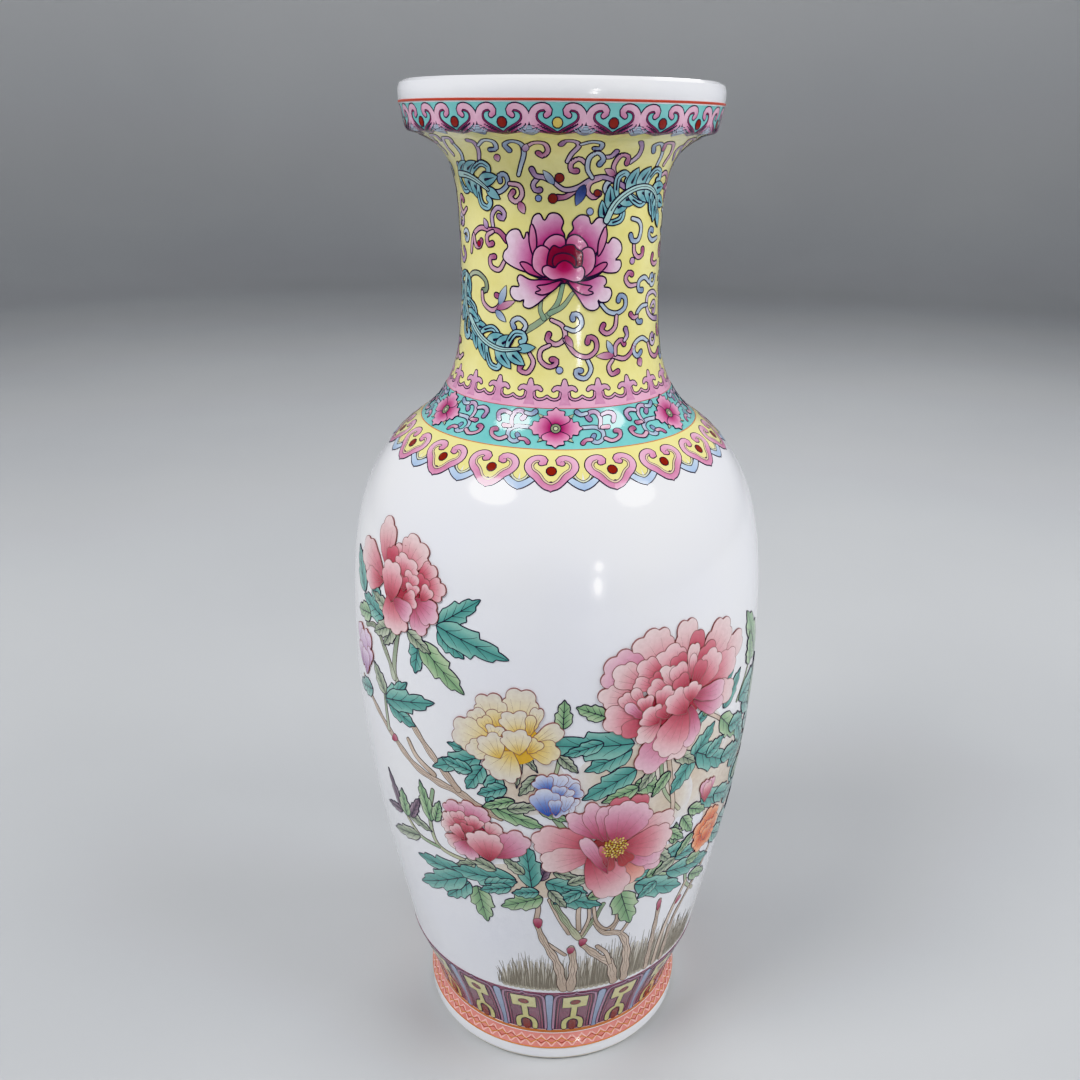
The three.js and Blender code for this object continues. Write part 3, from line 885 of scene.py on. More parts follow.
def blue_chevron(picture):
    """The light blue scallop between two collar heads."""
    curve = [(-4.8, -1.8), (-2.5, -3.8), (0, -4.9), (2.5, -3.8), (4.8, -1.8)]
    tip = Fill([(-1.9, -4.9), (0, -4), (1.9, -4.9), (0, -6.2)])
    tint = fade((0, -6), (4, -2), "#a9c3e4", "#c9dcf0")
    picture.cased([Stroke(curve, [1.6, 1.9, 2.1, 1.9, 1.6]), tip], tint, 0.36)
    inner = [(-2.7, -0.8), (-2.0, -2.2), (0, -3.3), (2.0, -2.2), (2.7, -0.8)]
    picture.cased([Stroke(inner, 0.5)], colour("#dadfc6"), 0.22)


COLLAR_EDGE = [(9.6, 1), (9.6, -4.4), (7.6, -3.6), (5.2, -2.2), (3.6, -3.4), (1.8, -4.6), (0, -5.2)]


def collar_ground(layer, canvas):
    """One head's share of the collar's yellow ground, from the orange line to the scalloped edge."""
    top = WALL_OUT.station(middle_of("shoulder_line")) - canvas.station
    half = np.array([(0, top), (4.8, top), (9.6, top)] + COLLAR_EDGE)
    corners = np.vstack([half, flipped(half[-2:0:-1])])
    Fill(straight(corners, closed=True), (0, 1)).lay(layer, canvas, BAND_TOP, WHITE)


def trefoil(picture, half_period):
    """One period of the pink border: a three-lobed head that grows out of the band."""
    arm = [(0.2, 1.4), (1.6, 2.2), (2.8, 2.2), (3.5, 1.6)]
    wave = [(1.4, 0.7), (1.6, -0.6), (2.8, -1.4), (4.4, -1.2), (half_period, -0.4)]
    lobe = [(0, -0.9), (0, 0.9), (0, 2.6), (0, 3.6), (0, 4.4)]
    head = [Stroke(lobe, [2.0, 1.9, 1.9, 2.1, 1.2]), Stroke(arm, [1.8, 1.5, 1.3, 0.9])]
    head += [Stroke(flipped(arm), [1.8, 1.5, 1.3, 0.9]), Stroke(wave, 0.5), Stroke(flipped(wave), 0.5)]
    tint = fade((0, -2.5), (0, 4), "#dca3c2", "#d291b6", "#d9a2c2", "#e0b4cd")
    picture.cased(head, tint, 0.36)
    picture.fill([(-1.9, -3.2), (1.9, -3.2), (1.3, -1.6), (0.9, 0.5), (-0.9, 0.5), (-1.3, -1.6)], tint)
    picture.next_coat()


SMALL_PETAL = [(1.2, 0.4), (2.0, 2.2), (3.4, 3.5), (5.1, 3.1), (5.3, 2.0), (6.9, 2.2), (7.3, 0.8), (8.5, 0)]


def small_flower(picture):
    """A four-petalled pink flower on the turquoise shoulder band."""
    for turn in (45, 135, 225, 315):
        tip = (7.8 * math.cos(math.radians(turn)), 6.8 * math.sin(math.radians(turn)))
        picture.cased([Fill(leaf_outline((0, 0), tip, 1.9))], fade((0, 0), tip, "#8f9c84", "#b4bfa2"), 0.32)
    half = np.array(SMALL_PETAL)
    for quarter in range(4):
        turn = quarter * math.pi / 2
        size = np.array([1.0, 1.0]) if quarter % 2 == 0 else np.array([0.82, 1.22])
        outline = np.vstack([half * size * (1, -1), half[-2::-1] * size])
        spin = np.array([[math.cos(turn), math.sin(turn)], [-math.sin(turn), math.cos(turn)]])
        outline = even(outline @ spin, FINE_STEP, closed=True)
        tip = half[-1] * size @ spin
        tint = fade((0, 0), tip, "#7c1644", "#a8326a", "#cb6c9c", "#dd9cbe", "#e6b4cc")
        picture.cased([Fill(outline, tip * 0.55)], tint, 0.34)
    picture.dot((0, 0), 1.5, colour("#8f9a7c"), 0.34)
    picture.dot((0, 0), 0.6, colour("#c9cfae"))


SHOULDER_SCROLLS = [
    ([(8.4, 0.3), (12.6, 0.3), (15.1, -1.4), (15.2, -3.9), (13.4, -5.2), (11.7, -4.2), (12.2, -2.6)], BLUE),
    ([(11.4, -4.0), (9.6, -4.1), (8.7, -5.2)], PINK),
    ([(14.2, 0.2), (14.3, 3.0), (12.9, 5.2), (10.9, 5.4), (9.8, 4.1), (10.8, 3.0)], LILAC),
    ([(9.6, 5.0), (7.8, 4.7), (6.5, 5.6)], BLUE),
    ([(14.9, 0.1), (16.9, 0.1)], PINK),
    ([(16.0, -3.9), (18.4, -5.0), (20.9, -3.9), (21.0, -2.0), (19.5, -1.5)], PINK),
    ([(14.9, 4.4), (17.0, 4.9), (18.9, 3.9), (18.8, 2.0)], LILAC),
]


def shoulder_scrolls(picture):
    """The curls on both sides of one shoulder flower."""
    for points, codes in SHOULDER_SCROLLS:
        for path in (points, flipped(points)):
            picture.cased([Stroke(path, [1.0, 1.1, 1.35])], along_path(path, codes), 0.36)


def lappet(picture):
    """One panel of the foot border: a maroon field with a yellow spade figure."""
    border = [(-7.5, -13.2), (-7.8, 0), (-7.9, 11.5), (-6.2, 14.3), (-1.6, 14.4), (0, 15.6)]
    border += [(1.6, 14.4), (6.2, 14.3), (7.9, 11.5), (7.8, 0), (7.5, -13.2)]
    picture.cased([Stroke(border, 0.9, step=LONG_STEP)], colour("#b98aa6"), 0.32)
    inner = [(-6.1, -13.2), (-6.3, 0), (-6.2, 10.6), (-4.6, 13.2)]
    inner += [(4.6, 13.2), (6.2, 10.6), (6.3, 0), (6.1, -13.2)]
    picture.cased([Stroke(inner, 0.6, step=LONG_STEP)], colour("#a2586c"), 0.3)
    corners = [(-4.7, 3.6), (0, 3.4), (4.7, 3.6), (4.9, 12.2), (0, 12.5), (-4.9, 12.2)]
    square = straight(corners, closed=True)
    arch = [(-3.2, -13.0), (-3.3, -9.6), (-2.4, -6.8), (0, -5.4), (2.4, -6.8), (3.3, -9.6), (3.2, -13.0)]
    shapes = [Fill(square, (0, 8)), Stroke([(0, -5.2), (0, 3.8)], 2.2), Stroke(arch, 1.9)]
    picture.cased(shapes, fade((0, -14), (0, 13), "#cfc986", "#ded98b", "#e8e3ac"), 0.4)
    picture.dot((0, 7.9), 1.9, RED_BROWN)
    picture.cased([Stroke([(0, -8.6), (0, -12.8)], 2.9)], RED_BROWN, 0.2)


def lappet_bar(picture):
    """The light blue bar between two panels."""
    bar = Stroke([(0, -13.6), (0, 13.4)], [2.2, 2.5, 2.8], step=LONG_STEP)
    picture.cased([bar], fade((0, -14), (0, 14), "#8ea0c0", "#a9bbdc"), 0.45)


DIAPER_COUNT = 40
# The zigzags of the foot band: how steep, how wide and which colour.
ZIGZAGS = [(1, 0.5, "#efc0b8"), (-1, 0.5, "#efc0b8"), (0.45, 0.3, "#a8503c"), (-0.45, 0.3, "#c98a3a")]


def foot_diaper(picture):
    """One diamond of the coral foot band, over its thin orange edge."""
    half = math.pi * picture.canvas.radius / DIAPER_COUNT
    zigzag = np.array([(-half, -2.1), (0, 2.1), (half, -2.1)])
    for steepness, width, code in ZIGZAGS:
        line = Stroke(straight(zigzag * (1, steepness)), width)
        line.lay(picture.enamel, picture.canvas, picture.lift, colour(code))
        picture.next_coat()
    edge = Stroke([(-half, -2.8), (0, -2.8), (half, -2.8)], 0.45)
    edge.lay(picture.enamel, picture.canvas, picture.lift, colour("#d68b4a"))


# Each border: how many copies it has, the direction of the first, and the height of its middle.
MOUTH_HEADS = 20
MOUTH_FIRST = -1.2
MOUTH_HEIGHT = 349.5
TREFOILS = 21
TREFOIL_FIRST = 3
SHOULDER_FLOWERS = 6
SHOULDER_FIRST = -1
SHOULDER_HEIGHT = 259
COLLAR_HEADS = 18
COLLAR_FIRST = -2
COLLAR_HEIGHT = 248.7
LAPPETS = 18
LAPPET_FIRST = 9
BAR_FIRST = -1
LAPPET_HEIGHT = 28
DIAPER_HEIGHT = 9.5


def repeated(picture, count, first, height, draw):
    """Draws a pattern at even steps round the vase, each copy in the same coats."""
    lift = picture.lift
    highest = lift
    for k in range(count):
        picture.canvas = Canvas(first + 360 * k / count, height)
        picture.lift = lift
        draw(k)
        highest = max(highest, picture.lift)
    picture.lift = highest


def paint_borders():
    """The repeated patterns on the bands, from the mouth down."""
    mouth = Picture(None, OVER_BAND)
    between = MOUTH_FIRST + 180 / MOUTH_HEADS
    repeated(mouth, MOUTH_HEADS, between, MOUTH_HEIGHT, lambda k: grey_shield(mouth))
    repeated(mouth, MOUTH_HEADS, MOUTH_FIRST, MOUTH_HEIGHT,
             lambda k: mouth_head(mouth, RED_BROWN if k else POLLEN))
    mouth.hang("mouth_cloud_heads", "pink_enamel")

    border = Picture(None, OVER_BAND)
    half_period = math.pi * Canvas(0, TREFOIL_HEIGHT).radius / TREFOILS
    repeated(border, TREFOILS, TREFOIL_FIRST, TREFOIL_HEIGHT, lambda k: trefoil(border, half_period))
    border.hang("trefoil_heads", "pink_enamel")

    shoulder = Picture(None, OVER_BAND)
    for draw in (shoulder_scrolls, small_flower):
        repeated(shoulder, SHOULDER_FLOWERS, SHOULDER_FIRST, SHOULDER_HEIGHT, lambda k: draw(shoulder))
    shoulder.hang("shoulder_flowers", "pink_enamel")

    ground = Layer()
    for k in range(COLLAR_HEADS):
        collar_ground(ground, Canvas(COLLAR_FIRST + 360 * k / COLLAR_HEADS, COLLAR_HEIGHT))
    finish_piece(ground.made("ruyi_collar_ground", YELLOW), "yellow_enamel", None, "ruyi_collar")

    collar = Picture(None, OVER_BAND)
    between = COLLAR_FIRST + 180 / COLLAR_HEADS
    repeated(collar, COLLAR_HEADS, between, COLLAR_HEIGHT, lambda k: blue_chevron(collar))
    repeated(collar, COLLAR_HEADS, COLLAR_FIRST, COLLAR_HEIGHT, lambda k: collar_head(collar))
    collar.hang("collar_cloud_heads", "pink_enamel")

    foot = Picture(None, OVER_BAND)
    repeated(foot, LAPPETS, BAR_FIRST, LAPPET_HEIGHT, lambda k: lappet_bar(foot))
    repeated(foot, LAPPETS, LAPPET_FIRST, LAPPET_HEIGHT, lambda k: lappet(foot))
    foot.hang("lappet_figures", "yellow_enamel")

    diaper = Picture(None, OVER_BAND)
    repeated(diaper, DIAPER_COUNT, 0, DIAPER_HEIGHT, lambda k: foot_diaper(diaper))
    diaper.hang("foot_diaper", "coral_enamel")


# ---- petals and leaves ---------------------------------------------------------------------

LOBE = 3.0                # width of one lobe on a petal's edge
PETAL_WAIST = 0.45        # the smaller, the fuller a petal is near its base
PETAL_LINE = 0.22
PETAL_NOTCH = 1.3         # depth of the notches between the lobes
NODE_NOTCH = 0.7
PETAL_VEINS = 3
LEAF_TEETH = 3
LEAF_LINE = 0.34
STEM_LINE = 0.28
WOODY = 2.0               # a stem with a wider stretch than this has knots and grain


def along_axis(base, tip):
    """The base, the unit axis and the length of a petal or leaf."""
    base = np.asarray(base, float)
    axis = np.asarray(tip, float) - base
    length = float(np.hypot(*axis))
    return base, axis / length, length


def from_axis(base, axis, along, across):
    """Points at distances along an axis and to its left."""
    side = np.array([-axis[1], axis[0]])
    return base + along[:, None] * axis + across[:, None] * side


def petal_outline(base, tip, width, notch):
    """A petal from its narrow base to its scalloped edge."""
    base, axis, length = along_axis(base, tip)
    count = max(18, int(2.4 * (length + width / 2) / FINE_STEP))
    lobes = max(1, round(width / LOBE))
    turn = np.linspace(0, 2 * math.pi, count, endpoint=False)
    along = (1 - np.cos(turn)) / 2
    across = np.sin(turn) * along ** PETAL_WAIST
    across *= width / 2 / np.max(across)
    edge = np.clip((turn / math.pi - 1) / 0.62, -1, 1)
    phase = 0 if lobes % 2 else math.pi / 2
    wave = np.abs(np.cos(lobes * math.pi / 2 * edge + phase))
    middle = 0.5 * length
    away = np.hypot(along * length - middle, across)
    keep = 1 - notch * (1 - wave) ** 1.3 * (1 - edge ** 6) / np.maximum(away, 1)
    return from_axis(base, axis, middle + (along * length - middle) * keep, across * keep)


def petal(picture, base, tip, width, codes):
    """A petal, deep coloured at its base, with fine veins."""
    outline = petal_outline(base, tip, width, PETAL_NOTCH)
    start, axis, length = along_axis(base, tip)
    picture.fill(outline, fade(base, tip, *codes), start + axis * length * 0.52)
    picture.line(outline, PETAL_LINE, closed=True)
    for k in range(PETAL_VEINS):
        lean = (k - (PETAL_VEINS - 1) / 2) / PETAL_VEINS
        along = np.array([0.16, 0.72]) * length
        across = np.array([0.16, 0.8]) * lean * width
        picture.line(from_axis(start, axis, along, across), (0.11, 0.05))
    picture.next_coat()


def leaf_outline(base, tip, width, teeth=0):
    """A leaf with a pointed tip. Its teeth point forward."""
    base, axis, length = along_axis(base, tip)
    count = max(12, int(length / FINE_STEP))
    along = (1 - np.cos(np.linspace(0, math.pi, count))) / 2
    half = along ** 0.7 * (1 - along) ** 0.95
    half *= width / 2 / np.max(half)
    if teeth:
        place = along * (teeth + 0.6)
        half *= 1 - 0.42 * (1 - place % 1) * np.clip(place - 0.8, 0, 1)
    right = from_axis(base, axis, along * length, -half)
    left = from_axis(base, axis, along * length, half)
    return np.vstack([right, left[-2:0:-1]])


TEAL = ("#4a928b", "#64a9a1", "#8cc2b6")
GREEN = ("#74a076", "#94ba8e", "#b6cea8")
DULL = ("#7c9078", "#a3b198", "#c2cbb6")
PLUM = ("#5d4658", "#80697c", "#a48f9e")


def leaf(picture, base, tip, width, codes):
    """A leaf with a dark outline, midrib and side veins, lighter on one half."""
    start, axis, length = along_axis(base, tip)
    shades = [colour(code) for code in codes]

    def tint(points):
        offset = points - start
        along = offset @ axis / length
        across = (offset[:, 1] * axis[0] - offset[:, 0] * axis[1]) / (width / 2)
        light = np.clip(np.abs(across) * 1.1 + 0.25 * (across > 0) + 0.15 * along, 0, 1)
        return np.stack([np.interp(light, (0, 0.55, 1), [s[k] for s in shades]) for k in range(3)], axis=1)

    outline = leaf_outline(base, tip, width, LEAF_TEETH)
    picture.fill(outline, tint, start + axis * length * 0.42)
    picture.line(outline, LEAF_LINE, closed=True)
    picture.line([base, start + axis * length * 0.97], (0.4, 0.18))
    pairs = 2 if length < 9 else 3
    for k in range(pairs):
        root = 0.14 + 0.62 * k / pairs
        for side in (-1, 1):
            reach_out = side * width * 0.34 * (1 - 0.7 * abs(root - 0.2))
            along = np.array([root, root + 0.14, root + 0.2]) * length
            across = np.array([0, 0.62, 1.0]) * reach_out
            picture.line(from_axis(start, axis, along, across), (0.24, 0.12))
    picture.next_coat()


def placed_leaf(picture, base, tip, width, codes):
    """A leaf between two places given as (degrees, height)."""
    picture.canvas = Canvas(*base)
    leaf(picture, (0, 0), picture.canvas.local(*tip), width, codes)


def placed_stem(picture, places, width, codes):
    """A stem through places given as (degrees, height). A wide one has knots and a grain."""
    middle = places[len(places) // 2]
    picture.canvas = Canvas(*middle)
    points = [picture.canvas.local(*place) for place in places]
    stem = Stroke(points, width)
    steps = np.arange(len(stem.path))
    woody = np.max(width) > WOODY
    if woody:
        stem.widths = stem.widths * (0.86 + 0.16 * np.sin(steps * 0.55 + places[0][0]))
    picture.cased([stem], fade(points[0], points[-1], *codes), STEM_LINE)
    if woody:
        picture.lift -= COAT
        side = sideways(stem.path) * stem.widths[:, None]
        for share in (-0.22, 0.16):
            wander = share + 0.07 * np.sin(steps * 0.8 + share * 40)
            grain = (stem.path + side * wander[:, None])[2:-2]
            picture.line(grain[::2], (0.08, 0.2, 0.08), rise=2 * LINE_RISE)
        picture.lift += COAT


# ---- the neck ------------------------------------------------------------------------------

NECK_HEIGHT = 306.0
NECK_PEONY_PLACE = (1.3, 3)         # its middle, right of and above the middle of the neck

# Scrolls on one half of the neck: enamel, then points from the root to the curled end.
NECK_SCROLLS = [
    (LILAC, [(-27, 30.5), (-26.3, 35.5), (-27.6, 39.2), (-29.8, 40.2)]),
    (BLUE, [(-26, 37.7), (-23.4, 40.5), (-20.4, 39.7), (-19.7, 36.6), (-21.8, 36)]),
    (BLUE, [(-12.7, 28), (-12, 30.5), (-10.9, 34.8), (-11.6, 38.7), (-14.4, 40.2), (-16.8, 38.4),
            (-15.4, 35.9)]),
    (PINK, [(-10.5, 36.9), (-8, 39.4), (-4.9, 39.2), (-3.8, 36.1), (-5.2, 34.1), (-6.6, 35.1)]),
    (LILAC, [(1.8, 32.3), (3, 34.8), (5.0, 37.9), (4.2, 40.2), (1.4, 40.6), (0, 38.7)]),
    (BLUE, [(5.8, 38.9), (9.0, 40.3), (11.8, 39.4), (11.4, 37.1), (9.8, 37.1)]),
    (LILAC, [(-2.5, 26.3), (1, 23.9), (5, 24.5), (9, 26.8), (13.3, 27.5), (18.3, 25.6), (22.4, 23.4)]),
    (LILAC, [(-3.2, 26.4), (-5, 27.4), (-7.4, 27.8), (-8.6, 29.7)]),
    (LILAC, [(-6.4, 27.4), (-8.2, 25.4), (-7.6, 23.6), (-6.2, 23.7)]),
    (PINK, [(5, 24.2), (1.6, 21.9), (-1, 21.6)]),
    (PINK, [(12, 27.2), (8.8, 26), (8, 23.4), (9.8, 21.7), (11.6, 22.8)]),
    (BLUE, [(9.3, 27.4), (7.8, 30), (8.3, 33.6), (10.8, 35.4), (12.6, 33.3), (11.4, 31.5)]),
    (LILAC, [(12.8, 33.8), (15, 34.1), (16.6, 35.9)]),
    (PINK, [(7.6, 31.3), (5.4, 33.2), (3.0, 31.8), (3.0, 29.6), (4.6, 29.4)]),
    (BLUE, [(-24, 23.3), (-19.6, 22.7), (-16.5, 25), (-17.1, 27.8), (-19.2, 27.6), (-19, 26)]),
    (PINK, [(-15.8, 25.3), (-12.6, 24.8), (-11.7, 22.2), (-13.6, 20.1), (-15.6, 21.4), (-14.6, 22.9)]),
    (LILAC, [(-22.2, 12.4), (-22.5, 15.8), (-20.2, 18.1), (-17.9, 16.8), (-18.4, 15), (-19.8, 15.6)]),
    (PINK, [(-33.5, 4), (-32, 9), (-28, 11.7), (-24, 11.4), (-20, 11.2), (-17, 8.6)]),
    (PINK, [(-31.7, 9.4), (-30.6, 6.2), (-28.4, 6.2), (-27.6, 7.8)]),
    (PINK, [(-22.3, 11), (-24.8, 9.6), (-24.4, 7), (-22.6, 7.4)]),
    (PINK, [(-17.8, 2.6), (-20, -0.3), (-23.2, 0.5), (-23.6, 3), (-21.8, 3.5)]),
    (DULL, [(-36, -5.6), (-33.6, -2.9), (-29.6, -2.2), (-26, -4), (-25.4, -6.6), (-27.2, -7.4)]),
    (PINK, [(-27.6, -7.8), (-27.0, -11), (-23.4, -13), (-20.2, -11.6), (-19.4, -9), (-21.2, -8.2)]),
    (BLUE, [(-12, -19), (-10.6, -16.6), (-12.8, -14.6), (-15.2, -15.8), (-14.6, -17.6)]),
    (PINK, [(-2.4, -14.6), (1, -16.4), (1.8, -20), (-0.8, -22.1), (-3.6, -20.8), (-3.2, -19)]),
    (BLUE, [(2, -17), (4.8, -17.9), (7, -16), (6.2, -13.2), (4.2, -12.9), (4.2, -14.3)]),
    (PINK, [(1.8, -20.6), (5, -24.8), (9, -26.1), (11.9, -24), (11.6, -20.9), (9.4, -20), (9.0, -21.6)]),
    (PINK, [(-3, -22.4), (-5.7, -24), (-5.9, -27), (-3.4, -29), (-1.1, -28.4), (-0.9, -26.9),
            (-2.2, -26.8)]),
    (BLUE, [(9, -26.8), (10.3, -30), (8.5, -32.7), (5.7, -31.9), (5.6, -30.2), (7, -30.3)]),
    (PINK, [(-9.4, -25.2), (-8.1, -28), (-10, -31.2), (-12.8, -30.6), (-12.2, -29.2)]),
    (BLUE, [(13.3, -10), (15.8, -12.4), (19.3, -13.1), (22.2, -11.4), (22.1, -8.6), (20, -7.8),
            (19.5, -9.2)]),
    (PINK, [(18.9, -14), (18.4, -17.4), (15.8, -19.2), (13.6, -18), (14.2, -16.5)]),
    (PINK, [(27, -5), (23.8, -4.9), (22.1, -2.8), (23.4, -1), (24.8, -1.6)]),
    (BLUE, [(34.5, -5), (31.4, -3.1), (28.4, -4.1), (28.3, -6.6), (30.2, -7)]),
    (BLUE, [(33.4, -12), (30.4, -12.1), (27.9, -14), (28.3, -16.6), (30.2, -16.9)]),
    (PINK, [(27.9, -14.9), (26.2, -15.2), (24.8, -14)]),
    (LILAC, [(42.0, -10), (38.3, -8.4), (34.4, -8.7), (33.3, -11), (34.4, -14.4), (38.3, -16.8),
             (43.4, -17.6)]),
    (PINK, [(17.8, -26.4), (22.3, -27.6), (25.3, -26), (26.8, -24)]),
    (PINK, [(18.8, -26), (18.8, -23.2), (20.8, -21.6), (22.2, -23)]),
    (LILAC, [(22.3, -21.9), (23.4, -20.4), (22.7, -18.4)]),
    (PINK, [(17.8, -27.6), (16.4, -29.6), (17.5, -32), (19.8, -31.4)]),
    (BLUE, [(34.5, -23.8), (30.8, -22.2), (27.2, -23.4), (26.6, -26), (28.4, -27.6), (30.2, -26.5)]),
    (PINK, [(34.6, -24.4), (36.6, -28), (40.2, -29.4), (44, -28)]),
    (BLUE, [(24, 15.2), (27, 14.3), (28.3, 12), (27.2, 8.8), (24.6, 8.5), (23.6, 10.2)]),
    (PINK, [(25.2, 7.6), (25.5, 5), (27.4, 3.4), (29.5, 4.1), (29.6, 5.7)]),
    (BLUE, [(39.4, 8.5), (35.3, 8), (33.0, 9.7), (33.8, 11.5), (35.4, 11)]),
    (PINK, [(40.4, 0.8), (37.8, 0.4), (35.7, 1.7), (36.3, 3.3)]),
    (PINK, [(16.7, 27.6), (16.0, 31), (18.2, 34.5), (20.8, 33.9), (20.4, 31.8)]),
    (LILAC, [(21.6, 32), (24.4, 34.3), (25.2, 37.4), (24.4, 40.2)]),
    (BLUE, [(18.4, 26.5), (14.9, 26.3), (13.4, 24.3), (14.6, 22.5), (16.2, 22.9)]),
    (PINK, [(38, 27.6), (41, 28.4), (44, 27), (44.4, 24.6), (42.4, 24)]),
    (BLUE, [(44, 17), (47.6, 15.4), (49.4, 12), (47.6, 9.4), (45.4, 10.6)]),
    (PINK, [(49.4, 12), (48, 5), (44.6, 2.6), (43, 4.6), (44.6, 6)]),
    (LILAC, [(44, -5), (47.8, -3.4), (50.4, -6), (49, -9), (46.4, -8.2)]),
    (PINK, [(50.4, -8), (49.2, -16), (47, -22), (43.6, -22.6), (43.2, -20.2)]),
    (BLUE, [(48.8, -20), (50.4, -26), (48, -30.6), (45.2, -30), (45.6, -28)]),
    (LILAC, [(49, 22), (47.4, 28), (49.6, 33.6), (46.4, 37.9), (43.8, 35.6), (45, 33)]),
    (BLUE, [(33.4, 30), (35, 34.8), (32.8, 39.4), (30, 38.4), (30.4, 35.9)]),
    (BLUE, [(-37, 37.9), (-34.6, 33.6), (-36, 29.8), (-38.8, 30.4)]),
    (PINK, [(-36, 17), (-39.2, 15.4), (-41.6, 18), (-40, 20.6), (-38.2, 19.4)]),
    (LILAC, [(-46, 8), (-44, 3), (-40.6, 0.6), (-38.2, 2.6), (-39.8, 4.4)]),
    (BLUE, [(-44.8, -3), (-41.8, -7.4), (-44, -12), (-47.4, -11.4), (-46.8, -9)]),
    (PINK, [(52, 33.4), (54, 38), (51.4, 42.4), (47.6, 41.6), (48, 38.6)]),
    (BLUE, [(53.4, 36), (58, 37.2), (61, 41.4), (58.6, 45), (55.8, 43.4)]),
    (LILAC, [(-46, 34), (-49.6, 38), (-48.4, 42.8), (-44.6, 43), (-44.2, 40)]),
    (PINK, [(-48.6, 38.8), (-53.4, 38.6), (-57, 42), (-55.6, 45.6), (-52.8, 44.8)]),
    (BLUE, [(-47, 22), (-50.8, 24.6), (-50.6, 29), (-47, 30), (-45.8, 27.4)]),
    (LILAC, [(-49.6, 24), (-48.8, 16), (-50, 9.4), (-47.6, 6.6), (-45.4, 8.4)]),
    (BLUE, [(-49, -18), (-50.6, -24), (-48, -27.6), (-45.4, -25.6)]),
    (LILAC, [(-40, 33.6), (-42.4, 36.6), (-41.4, 41), (-37.8, 41.2), (-37.4, 38.4)]),
    (PINK, [(38, 31), (40.4, 35), (38.8, 39.4), (35.2, 39.6), (34.8, 36.8)]),
    (PINK, [(-40, -29.6), (-43.6, -31.2), (-47.2, -28.8), (-46.4, -25.4), (-44, -25.8)]),
]

# The points of a small curl that starts towards +x.
CURL = [(0, 0), (1.6, 2.2), (4.0, 2.6), (5.4, 0.8), (4.4, -1.2), (2.8, -0.8)]

# Small curls that fill the sides of the neck: enamel, start, size and direction in degrees.
SIDE_CURLS = [
    (LILAC, (36.5, -13), 0.8, -20), (BLUE, (39.4, -3.4), 0.8, 190), (LILAC, (40.5, -23), 0.75, 180),
    (PINK, (45.5, 19.5), 0.8, 60), (PINK, (-49.5, -3.5), 0.85, -50), (BLUE, (-39, 9.5), 0.7, -30),
    (LILAC, (-43, 12), 0.8, 20), (BLUE, (50.8, 3), 0.9, -80), (PINK, (-49.4, -28), 0.8, -70),
    (LILAC, (-45.5, -17), 0.85, 0), (PINK, (56.8, 40.5), 0.9, 10), (LILAC, (-58, 41), 0.9, 170),
    (BLUE, (51, 31), 0.8, 60), (PINK, (-50.5, 14), 0.8, 40),
]


def curl(start, size, degrees):
    """The points of one small curl."""
    turn = math.radians(degrees)
    ahead = np.array([math.cos(turn), math.sin(turn)])
    left = np.array([-ahead[1], ahead[0]])
    return [np.add(start, size * (x * ahead + y * left)) for x, y in CURL]


DEEP_BLUE = ("#20306c", "#3b4f95", "#6d83bf")
# Pointed leaves among the scrolls: enamel, base, tip, width.
NECK_LEAVES = [
    (DEEP_BLUE, (7, 25.2), (4.6, 19.4), 2.8),
    (BLUE, (-2, 25.5), (-5.2, 29.4), 1.9), (BLUE, (-20, -11), (-17.4, -5), 2.3),
    (PINK, (-21, -12.4), (-14.2, -9.4), 2.0), (BLUE, (-21.5, -13), (-17.6, -16), 2.2),
    (PINK, (2, -19.5), (4.3, -22.9), 1.8), (BLUE, (17.8, -25.6), (15.6, -21.4), 1.9),
    (PINK, (18.2, -26.2), (12, -26), 2.1), (PINK, (16.5, 28.2), (13.2, 29.9), 2.0),
    (LILAC, (-24.6, 11.8), (-26, 14.6), 1.7), (PINK, (-12.6, 20), (-11, 16.8), 2.2),
    (PINK, (-20, 34.2), (-19.2, 32), 2.0), (LILAC, (-10.6, 35.6), (-10, 38.8), 1.9),
    (PINK, (29, -28.4), (30.2, -31), 2.4),
]

# Round buds: colour, centre, radius.
NECK_BUDS = [
    (RED_BROWN, (-0.4, 27.3), 1.25), (RED_BROWN, (-2.3, 21.3), 1.3), (RED_BROWN, (11.0, 22.9), 0.9),
    (colour("#8ea3d8"), (-6.6, 21.3), 0.85), (colour("#a9b9de"), (0.2, -30.1), 1.0),
    (colour("#a9b9de"), (8.9, 17.6), 0.95), (colour("#c9a5cc"), (24.7, 2.5), 0.95),
    (colour("#c9a5cc"), (-22.6, -30.4), 0.9), (colour("#a32a3c"), (-28.8, 6.9), 0.85),
]

# Stems under the peony: points, then widths.
NECK_STEMS = [
    ([(1, -3.6), (-0.4, -9), (-3, -12.6), (-7, -16), (-12, -19), (-16, -20.6)], [1.1, 1.3, 1.6, 1.7, 1.4]),
    ([(-3, -12.6), (1, -10.4), (4, -6.4)], [1.5, 1.2, 0.9]),
    ([(-4.8, -14.2), (-6, -11.6), (-5.6, -8.6)], [1.4, 1.1, 0.8]),
]

# The long curling leaves: points along the midrib.
ACANTHUS = [
    [(-34.5, -16.5), (-30, -20.6), (-25, -23.4), (-19, -24.8), (-12.5, -24.0)],
    [(-38.5, 27.5), (-33, 27.2), (-28, 25.6), (-23.6, 23.2)],
    [(14.2, 15), (16.6, 19.4), (20.6, 22.6), (25.6, 24.4), (31, 24.2), (35.2, 21.6), (37.2, 16.6)],
    [(-37.2, -3.5), (-38.6, -9), (-37, -14.6), (-33.4, -18.6)],
]

